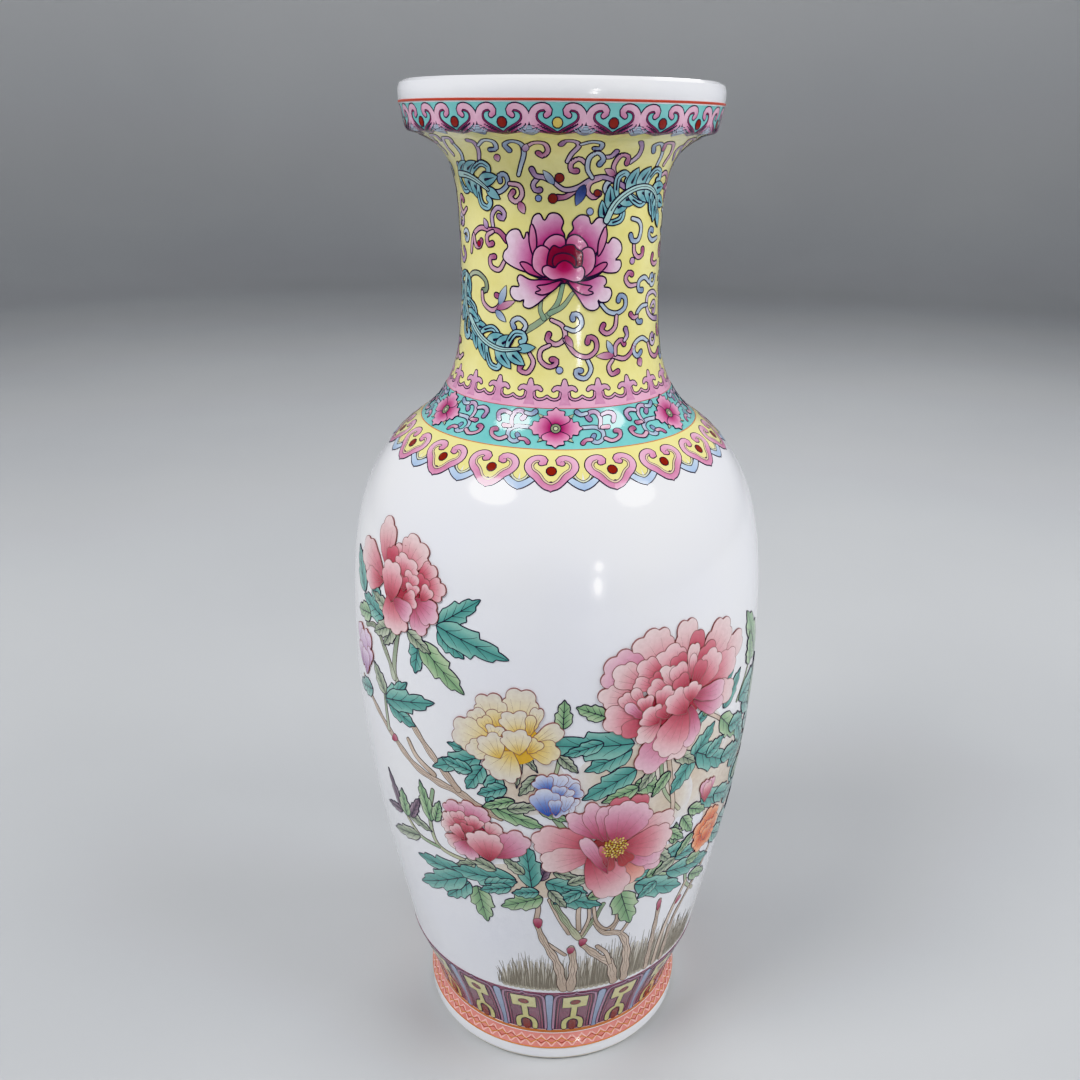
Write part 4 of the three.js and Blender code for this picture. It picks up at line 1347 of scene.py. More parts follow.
# A curled leaflet, as (along the midrib, out from it).
CURLED = ((-0.6, 0.2), (0.4, 2.4), (2.4, 4.4), (4.6, 4.2), (5.0, 2.6), (3.9, 2.1))
ACANTHUS_LINE = 0.38


def acanthus(picture, midrib):
    """A long leaf with pointed leaflets and curls on both sides of a pale rib."""
    path = even(midrib, 4.0)
    side = sideways(path)
    ahead = np.stack([side[:, 1], -side[:, 0]], axis=1)
    count = len(path)
    for k in range(count - 1):
        size = 0.85 + 0.45 * math.sin(math.pi * (k + 1) / (count + 1))
        for hand in (-1, 1):
            out = side[k] * hand
            if (k + (hand > 0)) % 3 == 0:
                leaflet = [path[k] + size * (ahead[k] * along + out * across) for along, across in CURLED]
                tint = fade(leaflet[0], leaflet[-1], "#b4dadb", "#78b2bd", "#9ac8d4")
                widths = [0.9, 1.5, 1.7, 1.5, 1.3]
                picture.cased([Stroke(leaflet, widths, step=FINE_STEP)], tint, ACANTHUS_LINE)
                picture.line(leaflet[1:4], (0.6, 0.2))
            else:
                base = path[k] - ahead[k] * 0.8
                tip = path[k] + size * (ahead[k] * 4.4 + out * 4.0)
                tint = fade(base, tip, "#b4dcdb", "#6ba8b4", "#94c6cf")
                picture.cased([Fill(leaf_outline(base, tip, 3.2 * size))], tint, ACANTHUS_LINE)
                picture.line([base * 0.6 + tip * 0.4, base * 0.15 + tip * 0.85], (0.9, 0.5, 0.1))
    tip = path[-1] + ahead[-1] * 5
    end_leaflet = Fill(leaf_outline(path[-1] - ahead[-1], tip, 2.6))
    picture.cased([end_leaflet], colour("#84b9c4"), ACANTHUS_LINE)
    picture.cased([Stroke(midrib, [1.7, 1.5, 1.2, 0.6])], colour("#b4dad8"), ACANTHUS_LINE)
    picture.line(even(midrib, 3)[1:], (0.3, 0.12))


NECK_RIM = ("#6c0e30", "#86184a", "#a82c66", "#c25690", "#d893bd", "#ebcce0", "#efdcea")
NECK_BOWL = ("#7c1034", "#9c2050", "#c04e82", "#d88eb2", "#e4b4ce")
NECK_FOLD = ("#7c1038", "#9c2858", "#c45c8e", "#d891b6")
NECK_HEART = ("#5c0c20", "#7c1230", "#94203e")

# Neck peony, local millimetres: enamel, distance over which it fades, outline. Back petals first.
NECK_PEONY = [
    (NECK_FOLD, 18, [(-12, -2.5), (-9, -4.6), (0, -6.4), (9, -4.6), (12, -2.5), (6, 1), (-6, 1)]),
    (NECK_RIM, 19, [(-4.3, 0), (-7.8, 3.5), (-9.9, 6), (-10.3, 9.5), (-9.5, 13), (-7.5, 13.9), (-6.1, 12),
                    (-4.5, 14), (-1.9, 13.9), (-0.4, 11.8), (-0.9, 9.6), (0, 7.5), (-1.3, 3)]),
    (NECK_RIM, 19, [(0.7, 3), (1.0, 7.5), (2.6, 9.6), (2.3, 11.6), (4.5, 13.6), (7.1, 13.2), (8.1, 11),
                    (10.1, 12.8), (12.5, 12.2), (12.9, 9.4), (11.7, 5), (8.7, 1.5), (4.7, 0)]),
    (NECK_RIM, 20, [(-6.3, -3), (-11.3, -3.4), (-16.3, -2), (-19.5, 0), (-19.3, 2.2), (-17.9, 3.8),
                    (-18.6, 6.6), (-16.7, 8.8), (-14.1, 9), (-12.5, 6.4), (-11.5, 8.6), (-10.3, 6),
                    (-8.5, 1.5)]),
    (NECK_RIM, 20, [(7, -4), (9.4, 1), (11.8, 5.2), (12.4, 6.8), (13.6, 5.2), (15.4, 6.9), (18, 5.6),
                    (18.8, 3.2), (17.6, 1.2), (16.4, 0.2), (18.3, 0), (18.7, -1.8), (17.2, -3.5),
                    (14, -3.6), (11, -3)]),
    (NECK_RIM, 18, [(-0.7, -5.6), (-6.3, -5.4), (-10.3, -5.6), (-13.6, -4.3), (-14.7, -5.6), (-14.1, -7.8),
                    (-16.5, -8), (-17.2, -10), (-15.9, -11.9), (-13.7, -12.3), (-12.5, -11.7),
                    (-12.7, -13.6), (-10.8, -14.3), (-8.3, -13), (-4.9, -10), (-1.1, -6.8)]),
    (NECK_RIM, 18, [(1, -5.8), (7, -5.6), (10.8, -4.4), (13, -4.9), (13.5, -6.6), (12.6, -7.7),
                    (14.8, -8.2), (15.5, -10.2), (14.2, -12.2), (11.8, -12.4), (10.7, -11.6),
                    (11.2, -13.8), (9.2, -14.8), (6.6, -13.8), (4.2, -10.4), (1.4, -6.8)]),
    (NECK_FOLD, 14, [(-9.5, 1.5), (-10.8, 6), (-10.2, 10.8), (-8.9, 9.2), (-8.4, 5.6), (-8.7, 3)]),
    (NECK_FOLD, 14, [(10.5, 1.5), (10.4, 5), (11.3, 8), (12.7, 10.2), (13.3, 7.4), (12.3, 4)]),
    (NECK_FOLD, 16, [(-5.9, -4.8), (-10.8, -3.8), (-12.9, -2), (-13.7, -0.6), (-11.7, -0.5), (-8.9, -2),
                     (-6.1, -3.2)]),
    (NECK_FOLD, 16, [(6.2, -4.8), (10.7, -3.6), (13.1, -1.8), (13.5, -0.5), (11.7, -0.5), (8.9, -2),
                     (6.2, -3.2)]),
    (NECK_FOLD, 12, [(-0.9, -5.6), (-5.3, -6.8), (-8.3, -7.4), (-7.1, -8.5), (-8.9, -9.4), (-6.3, -10),
                     (-2.9, -8.4)]),
    (NECK_FOLD, 12, [(1.3, -5.6), (5.7, -6.8), (8.7, -7.4), (7.5, -8.5), (9.3, -9.4), (6.7, -10),
                     (3.3, -8.4)]),
    (NECK_BOWL, 11, [(-4.3, 0), (-6.3, 4.4), (-5.1, 6.8), (-2.7, 8), (-0.1, 7.2), (0.3, 4.6), (-0.3, 1)]),
    (NECK_BOWL, 11, [(0.7, 1), (0.4, 5), (1.1, 7.2), (3.3, 8), (5.7, 6.6), (7.1, 4), (5.1, 0)]),
    (NECK_BOWL, 11, [(-5.6, -4.6), (-9.1, -2.6), (-9.8, 0), (-9, 3.2), (-6.9, 4.7), (-4.6, 3.6),
                     (-4.2, 1.2), (-3.4, -2)]),
    (NECK_BOWL, 11, [(5.6, -4.6), (8.7, -2.6), (9.6, 0.4), (8.9, 3.4), (6.9, 4.3), (5, 3), (4.6, 0.6),
                     (3.6, -2)]),
    (NECK_HEART, 8, [(-4.7, -2.4), (-4.9, 1.8), (-3.4, 4.7), (-1.3, 4.1), (0.3, 4.9), (2.7, 5), (3.7, 3.8),
                     (5.5, 2.4), (4.7, -2.4), (0.1, -4)]),
    (NECK_HEART[1:], 5, [(-3.3, -1), (-3.1, 1.6), (-0.7, 2.6), (2.1, 2), (3.5, 0.4), (3.1, -1.8),
                         (-0.3, -3)]),
    (("#9c1440", "#b43064", "#d27aa4", "#e4b2cc"), 7, [(-6.3, -3.6), (-6.5, -1.8), (-4.9, -1.1),
                                                       (-2.9, -1.8), (-1.9, -0.6), (0.1, 0.4), (2.3, -0.6),
                                                       (3.3, -1.8), (5.3, -1.3), (6.3, -3), (5.5, -5.4),
                                                       (3.1, -6), (1.1, -5.4), (-0.7, -5.0),
                                                       (-3.7, -5.4)]),
]


def outlined(picture, points, tint, line):
    """A shape with a smooth closed outline."""
    outline = even(points, FINE_STEP, closed=True)
    picture.fill(outline, tint)
    picture.line(points, line, closed=True)
    picture.next_coat()


def paint_neck(name, degrees, *nodes):
    """Half of the neck: scrolls, long leaves, and a peony at its middle."""
    scrolls = Picture(Canvas(degrees, NECK_HEIGHT), OVER_BAND)
    for points, width in NECK_STEMS:
        scrolls.cased([Stroke(points, width)], fade(points[-1], points[0], "#a9b79a", "#8fae94"), 0.2)
    first = scrolls.lift
    side_curls = [(codes, curl(*placed)) for codes, *placed in SIDE_CURLS]
    for k, (codes, points) in enumerate(NECK_SCROLLS + side_curls):
        scrolls.lift = first + COAT * (k % 4)
        scrolls.cased([Stroke(points, [0.85, 1.1, 1.15, 1.15, 1.45])], along_path(points, codes), 0.4)
    scrolls.lift = first + COAT * 4
    for codes, base, tip, width in NECK_LEAVES:
        scrolls.cased([Fill(leaf_outline(base, tip, width))], fade(base, tip, *codes), 0.28)
        scrolls.lift -= COAT
    for shade, centre, size in NECK_BUDS:
        scrolls.dot(centre, size, shade)
        scrolls.lift -= COAT
    scrolls.hang(f"{name}_scrolls", "lilac_enamel")

    leaves = Picture(Canvas(degrees, NECK_HEIGHT), first + COAT * 5)
    for midrib in ACANTHUS:
        leaves.lift = first + COAT * 5
        acanthus(leaves, midrib)
    leaves.hang(f"{name}_curling_leaves", "teal_enamel")

    turn = math.degrees(NECK_PEONY_PLACE[0] / Canvas(0, NECK_HEIGHT).radius)
    peony = Picture(Canvas(degrees + turn, NECK_HEIGHT + NECK_PEONY_PLACE[1]), first + COAT * 6)
    for codes, fade_length, outline in NECK_PEONY:
        outlined(peony, outline, fade((0, -0.5), (0, fade_length - 0.5), *codes), 0.46)
    peony.hang(f"{name}_peony", "rose_enamel", *nodes)


# ---- the peony garden on the body ----------------------------------------------------------

ROSE = ("#96283c", "#b44456", "#cc6878", "#dc909c", "#e8bcc2", "#efd6d8")
ROSE_DEEP = ("#8e2436", "#ac3c4e", "#c65a6c", "#d88592")
ROSE_PALE = ("#b44a5c", "#cc7282", "#dfa2aa", "#e8c8ca", "#eedcdc")
ROSE_LILAC = ("#983048", "#b8506c", "#cf7c98", "#e0a8be", "#ecced8")
SALMON = ("#9c3434", "#c86460", "#e2988c", "#f0c4b8")
CREAM = ("#deb248", "#e6ca78", "#e8dab0", "#e5ddc8", "#e0dad2")
CREAM_DEEP = ("#daa434", "#e3c060", "#e7d396", "#e6dcbe")
SKY = ("#2b4da4", "#4468bc", "#7f98d4", "#bcc7e6", "#e0e3ee")
SKY_PALE = ("#7f9ad4", "#c0cbe8", "#e6e6ef")
ORANGE = ("#b4340e", "#dc5a20", "#ee8a52", "#f4c29a")
MAUVE = ("#8c5a94", "#b48abc", "#d8bcdc", "#eadcec")

# Flowers: base, tip, width, enamel, back petals first, in local millimetres.
PEONY_RIGHT = [
    ((2, 3), (1.5, 24), 10.5, ROSE_PALE), ((4, 3), (6.4, 19.4), 7, ROSE_DEEP),
    ((8, 0), (33, 7.5), 12, ROSE_PALE), ((7, 1), (22, 17.8), 14, ROSE_PALE),
    ((6, -2), (28.5, 1.5), 13, ROSE), ((5, -6), (28, -11.5), 11, ROSE_PALE),
    ((5, -7), (21, -13.6), 9, ROSE_LILAC), ((-6, 6), (-15.5, 21.8), 17, ROSE_PALE),
    ((-12, 3), (-27.5, 14), 16, ROSE_LILAC), ((-16, -1), (-30, 3), 9, ROSE_PALE),
    ((-12, -8), (-28.5, -5.6), 12, ROSE), ((-8, -10), (-23, -11.4), 7, ROSE_DEEP),
    ((2, -12), (-2, -28), 12, ROSE_PALE), ((4, -8), (4.5, -24.5), 10, ROSE_LILAC),
    ((-2, -12), (-14.5, -29), 13, ROSE_LILAC), ((-8, -10), (-16.5, -16.6), 8, ROSE_PALE),
    ((2, -7), (-6.5, -25), 14.5, ROSE), ((-14, 4), (-25, 11.4), 10, ROSE_PALE),
    ((-1, 2), (-8, 15.8), 13.5, ROSE), ((-8, 6), (-17, 12), 9, ROSE), ((0, 4), (-3, 13), 7, ROSE_DEEP),
    ((3, 2), (4.6, 15.3), 5.5, ROSE_PALE), ((4, 1), (4, 11), 4, ROSE), ((6, -1), (13, 13), 9.5, ROSE_DEEP),
    ((5, -3), (16.5, 8.4), 12, ROSE), ((4, -3), (9, 8), 6.5, ROSE_DEEP),
    ((-3, 0), (-8.5, 9.4), 8, ROSE_PALE), ((1, -1), (-3.4, 9.6), 7.5, ROSE),
    ((-9, 2), (-19, 6.2), 5.5, ROSE), ((-8, 3), (-12.5, 7.6), 5, ROSE_DEEP),
    ((-16, -6), (-22.8, 2.6), 5.5, ROSE), ((-5, -1), (-13.5, 4.4), 6.5, ROSE),
    ((-14, -4), (-18.6, 3.8), 4.4, ROSE), ((-14.5, -8), (-21, -1.4), 4.4, ROSE_LILAC),
    ((-13.5, -6), (-14.5, 0.8), 6.2, ROSE), ((-8.5, -6), (-6, 2.4), 8, ROSE),
    ((2, -3), (-2.5, 5), 7, ROSE_DEEP), ((-9, -11), (-14, -4.6), 9.5, ROSE),
    ((-5, -10), (-9, -4.6), 6, ROSE_DEEP), ((4, -5), (21.5, -7.4), 7.5, ROSE_LILAC),
    ((2, -10.5), (-4.6, -0.6), 10.5, ROSE), ((3.2, -6.5), (4.6, 0.8), 8.4, ROSE),
]

PEONY_OPEN = [
    ((4, 8), (4, 21.3), 7.5, ROSE_DEEP), ((9, 8), (12, 20.6), 7.5, ROSE_DEEP),
    ((6, 2), (26.8, 5.5), 11, ROSE_PALE), ((7, -3), (21.5, -16.6), 9, ROSE_LILAC),
    ((5, -5), (13.4, -20.4), 11, SALMON), ((-2, -1), (-25.4, 5.5), 14, ROSE),
    ((-3, -3), (-22.4, -6.6), 12, ROSE_PALE), ((-1, 3), (-13.6, 15.6), 8, ROSE_LILAC),
    ((-1, 2), (-6.4, 19.8), 8.4, ROSE_LILAC), ((0, 2), (-0.8, 18.6), 7.4, ROSE_LILAC),
    ((1, 2), (2.6, 13.6), 4.8, ROSE), ((-6, -2), (6.6, -25.4), 15.5, ROSE),
    ((5, -4), (23, -11.6), 11, ROSE_LILAC), ((5, -2), (26.2, -3.2), 14.5, ROSE),
    ((3, 0), (10.4, 17.6), 18.5, ROSE_LILAC), ((4.5, -3), (9.5, -11), 6.5, ("#8e2a2c", "#b8464a")),
    ((2.4, -3.5), (2.2, -12.4), 4, ("#8e2a2c", "#c0565e")), ((1.6, -13.6), (-8.8, 5.6), 5.2, ROSE_LILAC),
    ((1.2, -11), (-1.8, 0.4), 2.8, ROSE_DEEP),
]

PEONY_UPPER_LEFT = [
    ((-7, 2), (-10, 18.6), 10, ROSE_PALE), ((-8, -1), (-26, 3.6), 13, ROSE_PALE),
    ((-8, -3), (-21, -5.6), 8, ROSE), ((-3, -4), (0, -19.2), 14, ROSE), ((0, 4), (0, 12.6), 7, ROSE),
    ((3, 4), (8, 15.6), 13.5, ROSE_PALE), ((9, 3), (16, 7.6), 8, ROSE), ((11, 0), (20.3, 2), 8, ROSE),
    ((8, -5), (12.4, -15.6), 8.5, ROSE_LILAC), ((8, -4), (18, -9), 9.5, ROSE_LILAC),
    ((-5, 1), (-3, 10.4), 8, ROSE_DEEP), ((2, 0), (4.2, 9.2), 12, ROSE),
    ((9, -2), (12.4, 4.8), 6, ROSE_DEEP), ((5, -2), (7, 4.8), 7, ROSE), ((11, -4), (14.6, 1.8), 5.4, ROSE),
    ((3, -3), (2.6, 2.8), 5, ROSE_DEEP), ((7, -4), (7.2, 1.2), 6.5, ROSE),
    ((3, -6), (9.6, -3.6), 6.4, ROSE), ((-2, -7), (7.8, -10.6), 7.4, ROSE_LILAC),
    ((-3, -8.6), (-3.6, 5.8), 11.4, ROSE),
]

PEONY_YELLOW = [
    ((-1, 1), (0, 17.4), 12, CREAM), ((3, 1), (5.6, 11.4), 4.6, CREAM),
    ((-8, 1), (-11.5, 14.2), 11.5, CREAM), ((-11, 0), (-16.8, 7.8), 7, CREAM),
    ((-8, -4), (-24.2, -1.6), 13.5, CREAM), ((-7, -5), (-19, -8.6), 8, CREAM),
    ((-3, -6), (-9, -17.6), 14, CREAM), ((2, -4), (13.4, 4.2), 7, CREAM),
    ((1, -4), (12.4, -6.4), 9.5, CREAM_DEEP), ((-7, 1), (-10.2, 8.4), 8.4, CREAM_DEEP),
    ((-9, -1), (-13.6, 5.8), 5.6, CREAM_DEEP), ((-1, 0), (-2.8, 9.2), 11, CREAM),
    ((2.4, 0), (3.2, 8), 4.2, CREAM_DEEP), ((-9, -2), (-8.4, 3.4), 6.6, CREAM),
    ((-7, -9.4), (-12.2, -0.8), 10.6, CREAM), ((2, -6.4), (6, -0.6), 5.4, CREAM_DEEP),
    ((-0.6, -7.2), (-2.6, 2.4), 10.6, CREAM),
]

PEONY_LOWER_LEFT = [
    ((12, 0), (16.4, 5.4), 9, ROSE_PALE), ((6, 3), (8.4, 12.8), 12.6, ROSE_LILAC),
    ((1, 3), (-1.2, 11.4), 9.4, ROSE_LILAC), ((0, 0), (-6.2, 1.4), 10.5, ROSE_PALE),
    ((1, -4), (-3.4, -10.4), 8.4, ROSE_PALE), ((4, -5), (2, -13.4), 10.5, ROSE_LILAC),
    ((13, -10), (25.4, 2.8), 11, ROSE_LILAC), ((3, 1), (0, 7.8), 6.6, ROSE),
    ((7, 1), (7.6, 7.6), 7.6, ROSE), ((2, 0), (1.6, 4.8), 5.6, ROSE_DEEP),
    ((4, -2), (4.6, 3.4), 5.4, ROSE_DEEP), ((3, -4.6), (-2, 0.8), 5.8, ROSE),
    ((12, -12), (9.4, 1.6), 14.4, ROSE),
]

PEONY_BLUE = [
    ((2, 1), (6.4, 7.4), 7, SKY_PALE), ((0, 1), (1.4, 9.0), 7, SKY_PALE), ((3, 0), (9.4, 2.6), 6.6, SKY),
    ((-2, 1), (-5.2, 7.8), 7.6, SKY), ((3, -3), (7.8, -5.4), 6.6, SKY_PALE), ((0, -4), (3, -9.2), 6, SKY),
    ((2, -2), (5.2, 3.2), 5, SKY_PALE), ((1, -2), (1.6, 4.4), 5.2, SKY),
    ((3, -7), (4.2, 0.4), 5.4, SKY_PALE), ((-2, -9), (-4, 2.6), 10.4, SKY),
    ((0.4, -8.8), (0, -1.2), 4.6, SKY),
]

FLOWER_ORANGE = [
    ((0, 1), (-1, 10), 8, ORANGE), ((1, 1), (6, 8), 7, ORANGE), ((-2, 0), (-8.4, 5), 8, ORANGE),
    ((2, -1), (8.6, 0.6), 8, ORANGE), ((-2, -2), (-8, -4), 8, ORANGE), ((1, -2), (5, -9), 8, ORANGE),
    ((-1, -2), (-3.4, -9.6), 8, ORANGE), ((0, -3), (-3, 4), 6, ORANGE), ((1, -3), (3.4, 3.4), 6, ORANGE),
    ((0, -6), (0.2, 1.2), 6.6, ORANGE),
]

BUD_LILAC = [
    ((0, -4), (-5.4, 8.6), 7.4, MAUVE), ((1, -4), (4.6, 9), 7, MAUVE), ((0, -6), (-1, 7), 7.6, MAUVE),
    ((3, -6), (6.4, 3), 5, MAUVE), ((-2, -8), (-5, 1.4), 6, MAUVE), ((1, -10), (1.4, 1), 7, MAUVE),
]

BUD_PINK = [
    ((0, -5), (-2, 5.4), 5, ROSE_LILAC), ((1, -5), (3.4, 4.6), 5, ROSE_LILAC),
    ((0.4, -6), (0.6, 4), 5, ROSE),
]

# Each flower: name, slot, place (degrees, height), petals, and the deep shade at its heart.
FLOWERS = [
    ("peony_right", "rose_enamel", (33, 179), PEONY_RIGHT, ((-1, -2), 12, "#a82c40")),
    ("peony_open", "pink_enamel", (14, 121), PEONY_OPEN, ((2.5, -3), 8.5, "#8e2a2c")),
    ("peony_upper_left", "rose_enamel", (-44, 211), PEONY_UPPER_LEFT, ((1, -2), 9, "#a82c40")),
    ("peony_yellow", "yellow_enamel", (-8, 167), PEONY_YELLOW, ((-2, -3), 8, "#e0b23c")),
    ("peony_lower_left", "rose_enamel", (-27, 124), PEONY_LOWER_LEFT, ((5, -2), 7, "#962a44")),
    ("peony_blue", "blue_enamel", (0.2, 144.5), PEONY_BLUE, ((1, -2), 4.5, "#3558ae")),
    ("flower_orange", "orange_enamel", (51.5, 108.5), FLOWER_ORANGE, ((0, -1), 5, "#b83c14")),
    ("bud_lilac", "lilac_enamel", (-62, 177), BUD_LILAC, ((0, -4), 3, "#8c5a94")),
    ("bud_pink", "pink_enamel", (46.5, 130), BUD_PINK, ((0.5, -3), 1.8, "#9c1f44")),
    ("peony_back", "rose_enamel", (182, 160), PEONY_UPPER_LEFT, ((1, -2), 9, "#a82c40")),
    ("bud_back", "pink_enamel", (197, 131), BUD_PINK, ((0.5, -3), 1.8, "#9c1f44")),
]

# Painted flowers that are too slight for a CAD node of their own.
UNBUILT_FLOWERS = ("bud_pink", "peony_back", "bud_back")

# Leaves: base, tip (degrees, height), width, enamel. A group shares its coats.
LEAVES = {
    "leaf_upper_left": [
        ((-30, 201), (-18.5, 212), 8, TEAL), ((-30, 199), (-22.5, 191.3), 8, TEAL),
        ((-30.5, 200.5), (-11, 193.3), 10.5, TEAL), ((-36, 193.5), (-37.5, 180.6), 8.5, TEAL),
        ((-36, 193), (-22.5, 178.6), 10, GREEN), ((-50, 195), (-62, 197.8), 9.5, TEAL),
        ((-45, 194), (-50, 185), 6, DULL), ((-47, 193.5), (-55, 187.4), 6.5, DULL),
        ((-57, 193), (-66.5, 190), 8, GREEN), ((-61, 199), (-69, 212.5), 9.5, TEAL),
        ((-52, 200), (-58, 206), 7, TEAL), ((-46, 198), (-56, 202), 6, DULL),
        ((-40, 195), (-32, 190), 6, DULL),
    ],
    "leaves_middle_left": [
        ((-49, 163.5), (-38, 160), 8, TEAL), ((-50, 163), (-40.5, 175.8), 8, TEAL),
        ((-50, 164.5), (-31.3, 172.3), 9.5, TEAL), ((-58, 163), (-69, 158.6), 8, TEAL),
        ((-50, 166), (-56, 175.6), 7, DULL),
    ],
    "leaves_under_yellow": [
        ((-18, 157), (-28, 158.8), 6.5, TEAL), ((-18.5, 156.5), (-33.2, 146.6), 9, TEAL),
        ((-18, 153), (-23, 142), 7.5, TEAL), ((-14, 151), (-17.6, 138), 7.5, TEAL),
        ((-8, 161), (-4, 153), 3, DULL), ((-8.6, 159), (-9.4, 146), 3, DULL),
        ((-17, 137.5), (-2, 130), 7.5, GREEN), ((2, 170), (2.3, 180.6), 6.4, GREEN),
        ((12.5, 173.6), (5, 177.8), 6.6, GREEN), ((-21, 150), (-30, 152), 6, TEAL),
        ((-12, 146), (-20, 141), 6.5, TEAL), ((-4, 152), (-9, 143), 5, DULL),
        ((1, 160), (6, 153), 4.5, DULL), ((-10, 141), (-19, 136), 5, GREEN),
        ((-4, 139), (4, 133), 5, GREEN), ((-12, 137), (-3, 140), 5, DULL),
    ],
    "leaf_right": [
        ((21, 146), (29.5, 140.6), 8.5, GREEN), ((19.5, 159.8), (7.4, 153.4), 9.5, TEAL),
        ((21, 151.5), (7, 141.8), 10.5, TEAL), ((20, 162), (-3.2, 164), 12, TEAL),
        ((38, 148), (46.5, 159), 8.5, TEAL), ((39, 149), (32, 136.4), 9, TEAL),
        ((49, 159), (60, 144.6), 9.5, GREEN), ((50, 162), (58.6, 173), 8, TEAL),
        ((40, 150), (55.4, 136.6), 12, TEAL), ((72, 170), (61, 193.4), 13, GREEN),
        ((59, 160), (78, 163.5), 11, TEAL), ((62, 156), (80, 146), 10, TEAL),
        ((22, 144), (12, 140), 6.5, GREEN), ((26, 150), (22, 142), 5, DULL),
        ((32, 154), (40, 146), 6, DULL), ((34, 160), (44, 166), 7, TEAL), ((41, 164), (48, 172), 6, GREEN),
        ((44, 146), (52, 150), 7, TEAL), ((31, 147), (26, 138), 5, GREEN), ((12, 164), (2, 160), 6, TEAL),
        ((46, 168), (54, 178), 8, TEAL), ((54, 152), (64, 150), 8, TEAL), ((52, 140), (64, 138), 8, TEAL),
    ],
    "leaves_far_right": [
        ((45, 127), (59, 118), 9.5, TEAL), ((62, 129), (77, 112), 12, TEAL),
        ((38, 123), (43.4, 113), 6, GREEN), ((32.5, 107), (44, 108.8), 8, TEAL),
        ((36, 112), (36, 122), 5, GREEN), ((61, 106), (74, 94), 10, TEAL),
        ((60, 140), (72, 131), 8, GREEN), ((60, 150), (67, 137), 9, TEAL), ((64, 158), (79, 160), 9, TEAL),
        ((58, 132), (71, 138), 9, TEAL), ((67, 146), (81, 137), 10, TEAL), ((52, 124), (66, 115), 9, TEAL),
        ((60, 114), (73, 117), 9, TEAL), ((69, 128), (78, 113), 10, TEAL),
        ((70, 134), (84, 141), 8, GREEN), ((56, 102), (69, 92), 9, TEAL), ((68, 104), (80, 109), 8, TEAL),
        ((64, 122), (76, 128), 8, GREEN), ((70, 150), (76, 168), 9, GREEN),
        ((66, 170), (64, 184), 9, GREEN), ((70, 108), (82, 98), 10, GREEN),
        ((40, 126), (48, 120), 6, GREEN), ((30, 112), (36, 104), 6, DULL),
        ((33, 120), (40, 112), 5, GREEN), ((38, 104), (30, 100), 6, DULL),
        ((44, 112), (38, 104), 5, GREEN),
    ],
    "leaf_left": [
        ((-25.5, 102), (-45, 99.5), 9.5, TEAL), ((-25, 98), (-34.6, 85.4), 9, TEAL),
        ((-26, 100.5), (-46.6, 84.3), 11, TEAL), ((-20, 109.6), (-29, 105), 6, DULL),
        ((-10.5, 105), (-31, 102.4), 11, TEAL), ((-16, 108), (-26, 112), 6, DULL),
        ((-20, 100), (-10, 104), 7, TEAL), ((-12, 101), (-22, 96), 6, TEAL),
    ],
    "leaf_lower_left": [
        ((-22.5, 97.5), (-20.6, 79.8), 10.5, GREEN), ((-3, 97.4), (-15.6, 90), 9.5, GREEN),
    ],
    "leaves_back": [
        ((183, 146), (170, 139), 9, TEAL), ((184, 142), (197, 151), 8, TEAL),
        ((182, 124), (167, 128), 9, TEAL), ((181, 120), (192, 111), 8, GREEN),
        ((177, 106), (163, 100), 8.5, TEAL), ((176, 104), (187, 93), 8, TEAL),
        ((174, 98), (163, 87), 7, GREEN), ((185, 136), (175, 131), 5, DULL),
    ],
    "leaves_centre": [
        ((-2, 105), (10, 98.6), 9.5, TEAL), ((1, 98.4), (14.6, 91.6), 9.5, TEAL),
        ((-3.4, 105.5), (-1.4, 115.6), 5, PLUM), ((-6, 102), (-7.6, 123.6), 9.5, TEAL),
        ((-8, 108), (-14, 115), 5, DULL), ((0, 110), (8, 106), 4.5, DULL), ((4, 104), (12, 108), 5, DULL),
        ((8, 100), (0, 94), 6, TEAL), ((-4, 100), (-12, 98), 6, TEAL), ((10, 96), (18, 100), 5.5, GREEN),
        ((14, 98), (22, 104), 6, DULL), ((-1, 101), (4, 92), 5, DULL),
    ],
    "leaf_lower_right": [
        ((23, 101), (31, 107), 7, TEAL), ((20, 96.5), (25, 77.8), 11.5, GREEN),
        ((30, 98.5), (41, 92), 7, GREEN), ((37, 104.5), (53, 102), 6.5, TEAL),
        ((24.5, 98.5), (44.4, 85.6), 11.5, TEAL), ((35.5, 98.5), (59, 90), 10, TEAL),
        ((48, 88), (60, 80), 7, GREEN), ((28, 100), (36, 106), 6, GREEN), ((32, 96), (26, 90), 6, TEAL),
        ((44, 98), (52, 96), 6, GREEN), ((18, 99), (12, 103), 5, DULL),
    ],
    "leaves_thorny_stem": [
        ((-42, 110.4), (-57.4, 102.6), 6.5, DULL), ((-36, 121), (-38.6, 138), 6.5, GREEN),
        ((-34.5, 122), (-32, 132.6), 5, GREEN), ((-47, 119), (-36, 116), 5.5, DULL),
        ((-49, 117), (-53.6, 133.2), 4.4, PLUM), ((-45, 117), (-39.4, 129.4), 4.4, PLUM),
        ((-47, 116), (-47.4, 128.4), 7, GREEN), ((-49, 117), (-58, 114.6), 4, PLUM),
    ],
}

THIN_COAT = 0.01          # a coat where many petals or leaves lie over one another
LEAF_LIFT = FIRST_COAT + COAT * 8
FLOWER_LIFT = LEAF_LIFT + THIN_COAT * 28
LEAF_NODES = ("leaf_upper_left", "leaf_right", "leaf_left", "leaf_lower_left", "leaf_lower_right")
GREEN_LEAVES = ("leaf_lower_left", "leaf_lower_right", "leaves_thorny_stem")

